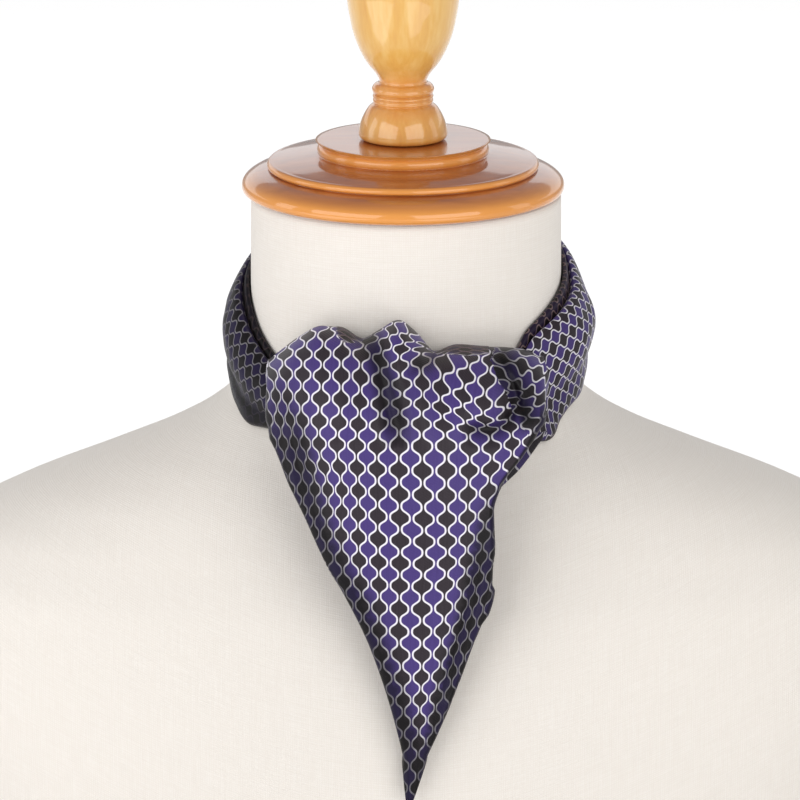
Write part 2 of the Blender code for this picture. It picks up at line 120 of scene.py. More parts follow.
# Turned pieces: height above the top of the neck, and a corner where the turner's tool left an edge.
TurnedPoint = namedtuple("TurnedPoint", "height radius corner", defaults=[False])
CAP_PROFILE = table(
    TurnedPoint,
    (21.6, 0.0, True), (21.6, 32.4), (21.4, 33.8), (20.9, 34.3), (20.4, 34.0, True),
    (20.1, 33.3, True), (19.3, 34.1), (18.2, 34.6), (17.0, 34.5), (16.2, 34.0, True),
    (15.8, 36.0), (14.9, 43.0), (13.8, 50.0), (13.3, 52.6, True),
    (13.1, 53.8), (12.3, 54.6), (11.5, 54.8), (10.7, 54.5), (10.2, 53.6, True),
    (9.8, 55.5), (8.6, 59.6), (7.0, 62.6), (5.2, 64.4), (3.4, 65.0), (1.9, 64.8), (0.8, 63.9),
    (0.2, 62.6), (0.0, 61.5, True), (0.0, 0.0, True),
)
FINIAL_PROFILE = table(
    TurnedPoint,
    (104.0, 0.0, True), (103.3, 6.0), (101.0, 11.8), (96.6, 17.2), (90.6, 21.2), (84.0, 22.8),
    (77.5, 22.4), (71.5, 21.4), (66.0, 20.2), (61.0, 18.5), (56.5, 16.4), (52.6, 14.0), (49.3, 11.3),
    (47.0, 9.9), (45.7, 9.5), (45.0, 9.8, True), (44.4, 11.4), (42.8, 12.5), (41.2, 12.2),
    (40.5, 11.4, True), (40.1, 12.0), (39.4, 12.2), (38.9, 11.7, True),
    (38.2, 12.1), (37.2, 12.1), (36.5, 11.6, True),
    (35.6, 13.2), (34.2, 14.4), (32.0, 15.7), (29.3, 16.9), (26.4, 17.7), (24.0, 17.9), (22.7, 17.3),
    (22.0, 16.2, True), (22.0, 0.0, True),
)
# How thick the stain lies at each height: it gathers in the grooves of the finial's collar.
StainLevel = namedtuple("StainLevel", "height depth")
STAIN = table(
    StainLevel,
    (21.8, 0.0), (22.0, 0.55), (30.0, 0.60), (36.0, 1.0), (45.0, 1.0), (50.0, 0.35), (60.0, 0.0),
)
CAP_SIDE = -1.2  # how far towards -X the cap and finial sit from the neck's middle
TURNED_SEGMENTS = 160
TURNED_STEPS = 7
UPRIGHT_LIGHT_FROM = 0.25  # how upright the side of a moulding is where its painted light starts
UPRIGHT_LIGHT_OVER = 0.6

# ------ the front blade
BladeSection = namedtuple("BladeSection", "drop left right depth curve turn swing flap")
BLADE = table(
    BladeSection,
    (45, -54.0, 53.0, 97.0, 0.0045, 3.0, 22, 2.0),
    (51, -55.6, 54.4, 98.0, 0.0048, 3.8, 42, 5.0),
    (58, -57.0, 55.5, 99.0, 0.0050, 4.5, 60, 9.0),
    (67, -58.2, 56.4, 101.0, 0.0054, 5.5, 75, 11.0),
    (75, -57.4, 53.4, 102.5, 0.0054, 5.0, 115, 7.5),
    (83, -53.6, 48.4, 103.3, 0.0050, 4.0, 165, 7.0),
    (96, -48.0, 38.6, 104.0, 0.0044, 3.0, 172, 10.0),
    (107, -41.8, 34.8, 104.5, 0.0038, 2.6, 175, 11.0),
    (128, -31.6, 35.4, 105.6, 0.0030, 2.4, 175, 11.0),
    (138, -25.2, 35.2, 106.3, 0.0028, 2.4, 175, 10.0),
    (162, -13.4, 26.7, 108.0, 0.0026, 2.3, 175, 8.0),
    (194, -3.2, 12.6, 110.6, 0.0024, 1.9, 150, 3.0),
    (208, -0.2, 6.2, 112.0, 0.0020, 1.8, 60, 1.2),
    (221, 0.8, 1.9, 113.4, 0.0020, 1.6, 25, 0.6),
)
RidgePoint = namedtuple("RidgePoint", "x drop")
RIDGE = table(
    RidgePoint,
    (-62, 66.6), (-56, 58.8), (-50, 52.4), (-42, 45.4), (-33, 40.6), (-26, 40.9), (-17.5, 44.9),
    (-10.5, 41.2), (-3, 37.1), (4, 42.2), (11.5, 49.8), (20, 47.6), (30, 48.8), (44, 50.4), (54, 55.4),
    (60, 62.6),
)
# Folds laid one by one. Each follows its path from start to end; left and right are how far it spreads to
# either side, and height is out of the face, or below zero for a trough.
Fold = namedtuple("Fold", "name path left right height")
FOLDS = table(
    Fold,
    ("first_bump", ((-31, 34), (-30, 52), (-24, 78)), 11.0, 11.0, 2.2),
    ("throat_trough", ((-19, 38), (-13, 46), (-9, 56), (-6, 67), (-3, 80)), 4.6, 6.4, -7.0),
    ("second_bump", ((-4, 34), (-2, 42), (3, 52)), 6.0, 6.0, 2.6),
    ("tucked_under_second_bump", ((-1, 49), (5, 50.5), (13, 52)), 3.0, 3.0, -3.2),
    ("right_bulge", ((15, 46), (23, 52), (30, 59), (35, 67)), 9.0, 7.0, 4.8),
    ("right_valley", ((33, 48), (39, 56), (43.5, 66), (40, 73)), 7.5, 2.6, -9.5),
    ("valley_foot", ((44, 71), (34, 75.0), (22, 73)), 3.4, 3.4, -5.6),
    ("right_roll", ((52, 50), (56, 62), (54, 72), (49, 84)), 5.0, 6.5, 3.2),
    ("below_the_valley", ((44, 82), (33, 84), (20, 82)), 6.5, 6.5, 1.8),
    ("left_crease", ((-45, 52), (-44.5, 74), (-41.5, 90), (-35.5, 108), (-27.5, 121)), 2.6, 3.4, -1.6),
    ("left_ridge", ((-53, 60), (-51, 90), (-38, 118)), 3.8, 3.8, 1.2),
    ("low_right_crease", ((28.5, 126), (25.6, 142), (22.4, 152), (19.0, 164), (15, 182)), 2.2, 3.2, -2.2),
    ("slack_across_the_middle", ((-18, 96), (4, 104), (26, 98)), 11.0, 11.0, 1.0),
)

# Where the cloth turns away along a soft edge: beyond the line, on the side given (-1 left, +1 right), it
# falls back by depth over wide.
Fall = namedtuple("Fall", "name path side wide depth")
LEFT_FALL_LINE = ((-45, 30), (-44.7, 54), (-44.2, 74), (-40.5, 94), (-34, 112), (-22, 134))
RIGHT_FALL_LINE = ((31, 118), (28, 131), (24.5, 145), (20.8, 158), (16.5, 176), (12, 190))
FALLS = table(
    Fall,
    ("left_side", LEFT_FALL_LINE, -1, 14.0, 5.5),
    ("right_side", RIGHT_FALL_LINE, 1, 5.0, 1.8),
)

# Painted shade, where the silk would lie in the shade of what it is worn in: soft on both sides of the
# line, and as far to the left and right of it as given.
Shade = namedtuple("Shade", "name path left right depth")
LEFT_SHADE_LINE = (
    (-61, 54), (-53, 61), (-46, 69), (-41, 82), (-37, 98), (-32, 114), (-26, 129), (-18, 142), (-12, 157),
    (-6, 173), (-1, 188), (3, 203), (3, 265),
)
RIGHT_SHADE_LINE = (
    (35, 90), (33, 99), (30, 111), (27.5, 122), (25, 133), (22.5, 145), (19.5, 157), (15.5, 171),
    (12, 184), (8.5, 197), (4, 209), (1, 265),
)
VALLEY_SHADE_LINE = ((34.5, 47), (37.5, 51), (41, 57), (44.5, 64), (46.5, 71), (47, 78))
SHADES = table(
    Shade,
    ("left_side", LEFT_SHADE_LINE, 40.0, 5.0, 0.86),
    ("right_side", RIGHT_SHADE_LINE, 3.0, 30.0, 0.84),
    ("right_valley", VALLEY_SHADE_LINE, 3.2, 7.0, 0.95),
)

# ------ the grain of the silk
# Where the woven figure's columns and rows lie on the worn blade. Across the face they count to the
# right and down; beyond the valley's hidden fold they run up and to the right. Most of these places were
# measured with a program and rounded to half a millimetre.
Knot = namedtuple("Knot", "x drop column row")
FACE_GRAIN = table(
    Knot,
    (-2, 38, -1, -9), (4, 43, 0, -9), (-9, 41, -2, -8), (-43, 47, -6, -7), (-36, 45, -5, -7),
    (-21, 45, -3, -7), (-12.5, 45.5, -2, -7), (-6, 47, -1, -7), (1, 46.5, 0, -7), (11, 50, 1, -7),
    (20.5, 50.5, 2, -7), (-51.5, 55.5, -7, -6), (-36.5, 51, -5, -6), (-14, 51.5, -2, -6),
    (35, 61.5, 4, -6), (-54, 62.5, -8, -5), (-6, 60.5, -1, -5), (3, 59.5, 0, -5), (9.5, 61.5, 1, -5),
    (34, 68.5, 4, -5), (-44, 67.5, -6, -4), (-29.5, 66, -4, -4), (2, 66.5, 0, -4), (-51, 77, -8, -3),
    (-7, 75, -1, -3), (20, 75.5, 2, -3), (37.5, 77.5, 4, -3), (45, 77, 5, -3), (-36.5, 84, -5, -2),
    (11, 84, 1, -2), (-38.5, 93.5, -6, -1), (28.5, 94, 3, -1), (-28.5, 110.5, -4, 1), (27.5, 112, 3, 1),
    (-15, 120.5, -2, 2), (-28, 129, -4, 3), (26.5, 129, 3, 3), (31.5, 128, 4, 3), (10.5, 139.5, 1, 4),
    (-20, 147.5, -3, 5), (-14, 148, -2, 5), (18.5, 148, 2, 5), (24, 147, 3, 5), (28, 146, 4, 5),
    (-7, 157.5, -1, 6), (10, 167, 1, 7), (16.5, 166, 2, 7), (20.5, 165, 3, 7), (2, 194, 0, 10),
    (8, 193, 1, 10),
)
VALLEY_GRAIN = table(
    Knot,
    (34, 49.5, 8, -8), (42, 51, 8, -7), (50, 54, 8, -6), (42, 56, 7, -7), (47.5, 59, 7, -6),
    (53, 62, 7, -5), (43.5, 61, 6.5, -6.5), (52, 70, 6, -4), (49, 73.5, 5.5, -3.5), (37.5, 77.5, 4, -3),
    (43, 85.5, 5, -2), (35.5, 94.5, 4, -1),
)
PLATE_EASE = 0.0005  # how little the charted grain may miss a knot
FLAT_UNIT = 10.0  # the charts are worked out in centimetres
# The line where the bulge hides the valley's fold: left of it the first grain shows, right of it the other.
VALLEY_LINE = (
    (29.0, 38.0), (31.6, 47.7), (32.7, 50.7), (34.3, 53.4), (35.8, 57.5), (38.6, 62.2), (41.0, 67.4),
    (41.7, 70.8), (44.0, 72.8), (46.4, 75.6), (54.0, 84.0), (70.0, 96.0),
)
BULGE_EDGE = 12.0  # how wide a strip of the bulge beside that line gets painted light, its painted shade lifted
BULGE_FOOT = 71.0  # and the drop where the strip ends
BULGE_PAINTED_LIGHT = 0.75
COLUMN_WIDE = 9.0
ROW_LONG = 9.3

# Creases in front of a rear layer: above the line, the cloth behind shows with its grain turned, its lines
# crowded along the ridge, and step is how far back it lies.
Tuck = namedtuple("Tuck", "name path crowd step")
BUMP_CREASE = ((-28.6, 39.5), (-27.2, 42), (-24.5, 43.8), (-19.5, 45.0), (-17, 45.0), (-16.6, 41))
BULGE_CREASE = ((11, 47), (11.8, 50.0), (17, 49.2), (24, 49.5), (30, 50.0), (33, 49.4), (34, 45))
TUCKS = table(
    Tuck,
    ("behind_first_bump", BUMP_CREASE, 0.22, 1.3),
    ("behind_right_bulge", BULGE_CREASE, 0.26, 1.2),
)

REAR_START = 0.25  # where in the figure the lines behind a crease begin
TUCK_EDGE = 1.5  # how far in front of a crease its grain is already the rear layer's
TUCK_RIGHT = 35.0  # no crease reaches further right than this x
TUCK_SOFT = 0.5  # how gradually the painted shade behind it starts
TUCK_STEEP = 0.7  # over how much the layer steps back

# Painted shade on the silk, from 0, open, to 1, as dark as its painted shade colour gets: warm brown in the
# layers behind the puff's top edge and on the part behind the ridge, dusky in troughs and in the turned
# edges below the puff.
REAR_SHADE = 0.9
FOOT_SHADE = 0.8
TROUGH_SHADE = 0.8
DARK_TROUGH = 7.0  # depth of a trough in full painted shade
TURNED_SHADE = 0.9
TURNED_FROM = 62.0
TURNED_OVER = 10.0
# Spots of warm brown painted shade behind the puff's top edge: where, how wide, how tall and how dark.
WarmShadeSpot = namedtuple("WarmShadeSpot", "x drop wide tall depth")
WARM_SHADE_SPOTS = table(
    WarmShadeSpot,
    (-19.0, 44.0, 4.0, 2.5, 0.5),
    (8.0, 50.0, 7.0, 3.0, 0.6),
)

# ------ the under blade
UnderSection = namedtuple("UnderSection", "drop left right fall")
UNDER = table(
    UnderSection,
    (84, -36.0, 56.0, 15.0),
    (88, -38.0, 52.5, 12.5),
    (95, -39.0, 45.5, 8.0),
    (104, -38.0, 34.5, 2.0),
    (128, -28.0, 31.0, 0.0),
    (140, -21.5, 30.0, 0.0),
    (162, -11.5, 22.5, 0.0),
    (184, -3.0, 12.5, 0.0),
)
# Dusky painted shade all over the under blade.
UNDER_SHADE = 0.6

# ------ the neckband
BandStation = namedtuple("BandStation", "turn top tall puff lift")
BAND = table(
    BandStation,
    (-30, 67.0, 20, 0.90, 5.5),
    (0, 62.0, 25, 1.25, 5.5),
    (30, 66.0, 21, 0.90, 5.5),
    (40, 57.5, 33, 0.64, 1.6),
    (49, 47.0, 39.5, 0.64, 0.3),
    (58, 42.5, 40, 0.80, 0.0),
    (70, 37.5, 41.5, 0.98, 0.0),
    (80, 34.0, 40, 0.96, 0.0),
    (90, 30.0, 38, 0.70, 0.0),
    (104, 24.0, 38, 0.56, 0.0),
    (125, 18.0, 38, 0.48, 0.0),
    (150, 14.5, 38, 0.45, 0.0),
    (180, 13.5, 38, 0.44, 0.0),
    (210, 16.0, 38, 0.44, 0.0),
    (238, 23.0, 37, 0.46, 0.0),
    (256, 29.5, 37, 0.52, 0.0),
    (270, 35.0, 37, 0.68, 0.0),
    (282, 42.5, 33.5, 0.78, 0.0),
    (294, 51.5, 29.5, 0.74, 0.0),
    (308, 60.0, 26, 0.68, 0.3),
    (318, 65.0, 21, 0.66, 1.6),
    (330, 67.0, 20, 0.90, 5.5),
)
BAND_TALL = 40.0  # usual height, which the section is drawn for
OUTER_LINE = 0.7  # share of the section at which the band's length is measured
PLEATS_FROM = 4.5  # how far out on the section the pleats begin
PLEATS_OVER = 3.0
BandPoint = namedtuple("BandPoint", "name out fall")
BAND_SECTION = table(
    BandPoint,
    ("inner_hem", 0.4, 0.93),
    ("inner_low", 0.3, 0.66),
    ("inner_high", 0.3, 0.34),
    ("inner_edge", 0.4, 0.05),
    ("inner_layer_top", 1.3, 0.015),
    ("inner_layer_face", 2.3, 0.06),
    ("gap_between_layers", 3.2, 0.14),
    ("roll_inner_side", 4.6, 0.105),
    ("roll_top", 6.6, 0.085),
    ("roll_shoulder", 9.8, 0.15),
    ("upper_side", 13.2, 0.29),
    ("side", 14.2, 0.42),
    ("middle_side", 13.2, 0.56),
    ("lower_pleat", 10.4, 0.70),
    ("lower_side", 9.0, 0.82),
    ("outer_hem", 6.0, 0.93),
    ("hem", 2.6, 0.985),
)
# The figure is this much finer than on the blade, for silk taken up in pleats too fine to model.
GATHER_ACROSS = 1.4
GATHER_ALONG = 1.45
# Painted shade on the band: all round, at the side that lies in shade, below the middle, and warm painted
# shade inside the fold up to its mouth.
BAND_SHADE = 0.25
BAND_SIDE_SHADE = 0.58
BAND_LOW_SHADE = 0.25
BAND_INSIDE_SHADE = 0.9
BAND_MOUTH = 5.5
BAND_MOUTH_SOFT = 2.0
# Uneven pleats: where each runs round the neck, how far down the band's height, how wide and how deep.
Pleat = namedtuple("Pleat", "start end fall_start fall_end width depth")
PLEATS = table(
    Pleat,
    (66, 150, 0.66, 0.56, 0.050, -1.5),
    (92, 200, 0.30, 0.38, 0.045, -1.4),
    (140, 236, 0.66, 0.58, 0.050, -1.6),
    (190, 275, 0.46, 0.34, 0.045, -1.5),
    (228, 300, 0.74, 0.64, 0.050, -1.4),
)


# ====== small helpers
def through(rows, column, at):
    """A smooth curve through one column of a table, against its first column, with no overshoot."""
    known = np.array([row[0] for row in rows], float)
    value = np.array([getattr(row, column) for row in rows], float)
    gap = np.diff(known)
    slope = np.diff(value) / gap
    both = slope[:-1] * slope[1:]
    total = np.where(both > 0, slope[:-1] + slope[1:], 1.0)
    inner = np.where(both > 0, 2.0 * both / total, 0.0)
    tangent = np.concatenate([slope[:1], inner, slope[-1:]])
    at = np.clip(np.asarray(at, float), known[0], known[-1])
    i = np.clip(np.searchsorted(known, at) - 1, 0, len(gap) - 1)
    t = (at - known[i]) / gap[i]
    return (
        (2 * t**3 - 3 * t**2 + 1) * value[i]
        + (t**3 - 2 * t**2 + t) * gap[i] * tangent[i]
        + (3 * t**2 - 2 * t**3) * value[i + 1]
        + (t**3 - t**2) * gap[i] * tangent[i + 1]
    )


def unit(value):
    """A share held between 0 and 1."""
    return np.clip(value, 0, 1)


def dying_out(share, ends):
    """1 along a line, and down to 0 over its first and last part: over an eighth where ends is 8."""
    return unit(ends * share) * unit(ends * (1 - share))


def smooth_line(path, count):
    """A smooth line through a few points, at evenly spaced shares of its length."""
    path = np.array(path, float)
    ends = np.concatenate([[2 * path[0] - path[1]], path, [2 * path[-1] - path[-2]]])
    share = np.linspace(0, len(path) - 1 - 1e-9, count * 4)
    i = share.astype(int)
    t = (share - i)[:, None]
    a, b, c, d = ends[i], ends[i + 1], ends[i + 2], ends[i + 3]
    bend, twist = 2 * a - 5 * b + 4 * c - d, 3 * b - a - 3 * c + d
    fine = 0.5 * (2 * b + (c - a) * t + bend * t**2 + twist * t**3)
    length = along(fine)
    even = np.linspace(0, length[-1], count)
    return np.stack([np.interp(even, length, fine[:, k]) for k in range(fine.shape[1])], axis=-1)


def along(points, axis=0):
    """Length from the first point of each line of points."""
    step = np.linalg.norm(np.diff(points, axis=axis), axis=-1)
    start = np.zeros_like(np.take(step, [0], axis=axis))
    return np.concatenate([start, np.cumsum(step, axis=axis)], axis=axis)


def place(x, depth, drop):
    """A point or points in metres from x, depth and drop in millimetres."""
    x, depth, drop = np.broadcast_arrays(x, depth, drop)
    return np.stack([x, AXIS_BACK - depth, FORM_HEIGHT - drop], axis=-1) * MM


def placed(grid):
    """A whole grid of x, depth and drop in metres."""
    return place(grid[..., 0], grid[..., 1], grid[..., 2])


def grid_faces(rows, columns, closed):
    """Quads over a grid of points; closed joins the last column to the first."""
    last = columns if closed else columns - 1
    r, c = np.meshgrid(np.arange(rows - 1), np.arange(last), indexing="ij")
    d = (c + 1) % columns
    above, below = r * columns, (r + 1) * columns
    return np.stack([above + c, above + d, below + d, below + c], -1).reshape(-1, 4).tolist()


def mesh_through(name, points, faces):
    """A mesh through points in metres."""
    mesh = bpy.data.meshes.new(name)
    mesh.from_pydata(points.reshape(-1, 3).tolist(), [], faces)
    return mesh


def put_in(name, data):
    """An object in the scene for a mesh, a lamp or a camera."""
    thing = bpy.data.objects.new(name, data)
    bpy.context.scene.collection.objects.link(thing)
    return thing


def show(name, mesh, finish, nodes):
    """Puts a finished mesh in the scene and hides the CAD nodes it stands for."""
    piece = put_in(name, mesh)
    mesh.materials.append(finish)
    mesh.shade_smooth()
    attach(piece, "root")
    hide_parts(*nodes)
    return piece


def chart_onto(mesh, title, chart):
    """A UV map with one value for each point of the mesh."""
    corner = np.empty(len(mesh.loops), np.int32)
    mesh.loops.foreach_get("vertex_index", corner)
    layer = mesh.uv_layers.new(name=title)
    layer.uv.foreach_set("vector", np.ascontiguousarray(chart.reshape(-1, 2)[corner].ravel(), np.float32))


def tone_onto(mesh, title, values):
    """A number for each point of the mesh, which its material reads by name."""
    layer = mesh.attributes.new(title, "FLOAT", "POINT")
    layer.data.foreach_set("value", np.ascontiguousarray(values.ravel(), np.float32))


def cloth(name, points, wall, finish, nodes, charts, tones):
    """An open sheet of cloth through a grid of points in metres, given its thickness."""
    mesh = mesh_through(name, points, grid_faces(*points.shape[:2], False))
    for title, chart in charts.items():
        chart_onto(mesh, title, chart)
    for title, values in tones.items():
        tone_onto(mesh, title, values)
    piece = show(name, mesh, finish, nodes)
    thick = piece.modifiers.new("wall", "SOLIDIFY")
    thick.thickness = wall * MM
    thick.offset = 0.0
    return piece


# ====== materials
# The woven figure: its lines swing by a share of half a column, and belly makes each swing fuller.
SWING = 0.35
BELLY = 0.35
LINE_HALF = 0.36  # half the width of a white line, mm
LINE_SOFT = 0.09  # how softly its edge ends, mm
TWILL_ANGLE = 58.0
THREAD_SHOWN = 0.9  # spacing of threads and ribs as drawn, mm
BANDS = 2 * math.pi / 20 / THREAD_SHOWN  # a wave texture's scale for that spacing
PURPLE = ("#433472", "#544488")  # each dye, where a thread took more of it and where it took less
CHARCOAL = ("#2C252B", "#3C353D")
LINE_WHITE = "#F2EFF8"
# Warm brown painted shade, for the layers behind creases, the part behind the ridge and the inside of the
# band's fold.
PAINTED_SHADE_BROWN = "#6A4A44"
# Dusky painted shade, for troughs, the sides in shade, the turned edges, the bands and the under blade.
PAINTED_SHADE_DUSK = "#2F2B33"
THICK_STAIN = "#F4D6C8"


def linear(code):
    """An sRGB hex colour as the linear values that a shader takes."""
    parts = [int(code[i : i + 2], 16) / 255 for i in (1, 3, 5)]
    return tuple(p / 12.92 if p <= 0.04045 else ((p + 0.055) / 1.055) ** 2.4 for p in parts) + (1.0,)


def feed(tree, node, inputs):
    """Gives each input a value, a socket, or a node whose first output it takes."""
    for key, value in inputs.items():
        if isinstance(value, bpy.types.Node):
            value = value.outputs[0]
        if isinstance(value, bpy.types.NodeSocket):
            tree.links.new(value, node.inputs[key])
        else:
            node.inputs[key].default_value = value


def add(tree, kind, inputs=None, **settings):
    """Adds a shader node with its settings and links."""
    node = tree.nodes.new("ShaderNode" + kind)
    for name, value in settings.items():
        setattr(node, name, value)
    feed(tree, node, inputs or {})
    return node


def new_finish(name):
    """An empty material and its shader."""
    made = bpy.data.materials.new(name)
    made.use_nodes = True
    return made, made.node_tree, made.node_tree.nodes["Principled BSDF"]


def colours_along(node, stops):
    """Sets a colour ramp's stops: place and hex colour."""
    ramp = node.color_ramp
    while len(ramp.elements) < len(stops):
        ramp.elements.new(0.5)
    for element, (at, code) in zip(ramp.elements, stops):
        element.position = at
        element.color = linear(code)


def woven_silk(name, two_grains):
    """Woven silk twill. Its face is smooth with a soft, broad sheen, and the white figure is crisp."""
    made, tree, shader = new_finish(name)
    grain = add(tree, "UVMap", uv_map="grain")
    if two_grains:
        beyond = add(tree, "UVMap", uv_map="grain_beyond")
        side = add(tree, "Attribute", attribute_name="beyond_valley")
        is_beyond = add(tree, "Math", {0: side.outputs["Fac"], 1: 0.0}, operation="GREATER_THAN")
        grain = add(tree, "Mix", {0: is_beyond, 4: grain, 5: beyond}, data_type="VECTOR").outputs[1]
    split = add(tree, "SeparateXYZ", {0: grain})
    u, v = split.outputs[0], split.outputs[1]

    # Ogee figure: wavy lines run down the cloth, each the mirror of the next, so that purple cells and
    # charcoal cells alternate. One purple cell to the next is 9.0 mm across and 9.3 mm along.
    half_columns = add(tree, "Math", {0: u, 1: 2.0}, operation="MULTIPLY")
    nearest = add(tree, "Math", {0: u}, operation="ROUND")
    centred = add(tree, "Math", {0: nearest, 1: -2.0, 2: half_columns}, operation="MULTIPLY_ADD")
    away = add(tree, "Math", {0: centred}, operation="ABSOLUTE")
    phase = add(tree, "Math", {0: v, 1: 2 * math.pi}, operation="MULTIPLY")
    wave = add(tree, "Math", {0: phase}, operation="COSINE")
    wave_side = add(tree, "Math", {0: phase}, operation="SINE")
    squared = add(tree, "Math", {0: wave, 1: wave}, operation="MULTIPLY")
    fullness = add(tree, "Math", {0: squared, 1: -BELLY, 2: 1 + BELLY}, operation="MULTIPLY_ADD")
    bow = add(tree, "Math", {0: fullness, 1: wave}, operation="MULTIPLY")
    reach = add(tree, "Math", {0: bow, 1: SWING, 2: 0.5}, operation="MULTIPLY_ADD")
    offset = add(tree, "Math", {0: away, 1: reach}, operation="SUBTRACT")
    # A line keeps its width where it runs aslant, so the distance from it is divided by its lean.
    half_mm = COLUMN_WIDE / 2
    steepest = half_mm * SWING * 2 * math.pi / ROW_LONG
    bend = add(tree, "Math", {0: squared, 1: -3 * BELLY, 2: 1 + BELLY}, operation="MULTIPLY_ADD")
    slope = add(tree, "Math", {0: bend, 1: wave_side}, operation="MULTIPLY")
    steep = add(tree, "Math", {0: slope, 1: steepest}, operation="MULTIPLY")
    steep_squared = add(tree, "Math", {0: steep, 1: steep, 2: 1.0}, operation="MULTIPLY_ADD")
    lean = add(tree, "Math", {0: steep_squared}, operation="SQRT")
    offset_mm = add(tree, "Math", {0: offset, 1: half_mm}, operation="MULTIPLY")
    signed = add(tree, "Math", {0: offset_mm, 1: lean}, operation="DIVIDE")
    line_away = add(tree, "Math", {0: signed}, operation="ABSOLUTE")
    inner, outer = LINE_HALF - LINE_SOFT, LINE_HALF + LINE_SOFT
    line_edge = {"Value": line_away, "From Min": inner, "From Max": outer, "To Min": 1.0, "To Max": 0.0}
    on_line = add(tree, "MapRange", line_edge, interpolation_type="SMOOTHSTEP")
    in_charcoal = add(tree, "Math", {0: signed, 1: 0.0}, operation="GREATER_THAN")

    # Thread-scale change: warp threads vary a little in dye, in streaks down the cloth.
    in_mm = add(tree, "VectorMath", {0: grain, 1: (COLUMN_WIDE, ROW_LONG, 1.0)}, operation="MULTIPLY")
    streaks = add(tree, "Mapping", {0: in_mm, "Scale": (1.6, 0.10, 1.0)})
    dye = add(tree, "TexNoise", {"Vector": streaks, "Scale": 1.0, "Detail": 3.0, "Roughness": 0.6})
    purple, charcoal = (
        add(tree, "Mix", {0: dye, 6: linear(more), 7: linear(less)}, data_type="RGBA").outputs[2]
        for more, less in (PURPLE, CHARCOAL)
    )
    ground = add(tree, "Mix", {0: in_charcoal, 6: purple, 7: charcoal}, data_type="RGBA")
    shown = add(tree, "Mix", {0: on_line, 6: ground.outputs[2], 7: linear(LINE_WHITE)}, data_type="RGBA")
    # Painted shade: each tone attribute darkens the woven colour towards its painted shade colour.
    for tone, dark in (("warm_painted_shade", PAINTED_SHADE_BROWN), ("dusky_painted_shade", PAINTED_SHADE_DUSK)):
        depth = add(tree, "Attribute", attribute_name=tone)
        colours = {0: depth.outputs["Fac"], 6: shown.outputs[2], 7: linear(dark)}
        shown = add(tree, "Mix", colours, data_type="RGBA", blend_type="MULTIPLY")

    # The twill's ribs are really 0.25 mm apart; they are drawn at 0.9 mm so that they show.
    twill = add(tree, "Mapping", {0: in_mm, "Rotation": (0.0, 0.0, math.radians(TWILL_ANGLE))})
    ribs = add(tree, "TexWave", {"Vector": twill, "Scale": BANDS, "Distortion": 0.6, "Detail": 1.0})
    raised = add(tree, "Math", {0: on_line, 1: 0.8, 2: ribs.outputs["Fac"]}, operation="MULTIPLY_ADD")
    finish = {
        "Base Color": shown.outputs[2],
        "Normal": add(tree, "Bump", {"Height": raised, "Strength": 0.30, "Distance": 0.00012}),
        "Roughness": add(tree, "MapRange", {"Value": on_line, "To Min": 0.36, "To Max": 0.55}),
        "Specular IOR Level": 0.2,
        "Sheen Weight": 0.05,
        "Sheen Roughness": 0.35,
    }
    feed(tree, shader, finish)
    return made


def plain_linen():
    """Unbleached linen in plain weave, stretched over the form. It is matt, with uneven threads that
    give it a fine, broken grid and a warm off-white."""
    made, tree, shader = new_finish("plain_woven_linen")
    weave = add(tree, "UVMap", uv_map="weave")
    # Threads are really 0.5 mm apart; they are drawn at 0.9 mm so that they show.
    uneven = {"Vector": weave, "Scale": BANDS, "Distortion": 2.2, "Detail": 2.0, "Detail Scale": 0.6}
    across, down = (add(tree, "TexWave", uneven, bands_direction=way).outputs["Fac"] for way in "XY")
    threads = add(tree, "Math", {0: across, 1: down}, operation="MULTIPLY")
    slubs_down, slubs_across = (
        add(
            tree,
            "TexNoise",
            {"Vector": add(tree, "Mapping", {0: weave, "Scale": pulled}), "Scale": 1.0, "Detail": 3.0},
        )
        for pulled in ((1.3, 0.06, 1.0), (0.06, 1.3, 1.0))
    )
    slubs = add(tree, "Math", {0: slubs_down, 1: slubs_across}, operation="ADD")
    speckle = add(tree, "TexNoise", {"Vector": weave, "Scale": 1.1, "Detail": 2.0, "Roughness": 0.7})
    fine = add(tree, "Math", {0: speckle, 1: 0.5, 2: slubs}, operation="MULTIPLY_ADD")
    woven = add(tree, "Math", {0: threads, 1: 0.35}, operation="MULTIPLY")
    fleck = add(tree, "Math", {0: fine, 1: 0.6, 2: woven}, operation="MULTIPLY_ADD")
    colour = add(tree, "ValToRGB", {0: fleck})
    colours_along(colour, ((0.20, "#EBE4DC"), (0.80, "#EFE9E2"), (1.0, "#F3EEE8")))
    finish = {
        "Base Color": colour,
        "Normal": add(tree, "Bump", {"Height": fleck, "Strength": 0.4, "Distance": 0.0003}),
        "Roughness": 0.92,
        "Specular IOR Level": 0.25,
        "Sheen Weight": 0.15,
    }
    feed(tree, shader, finish)
    return made


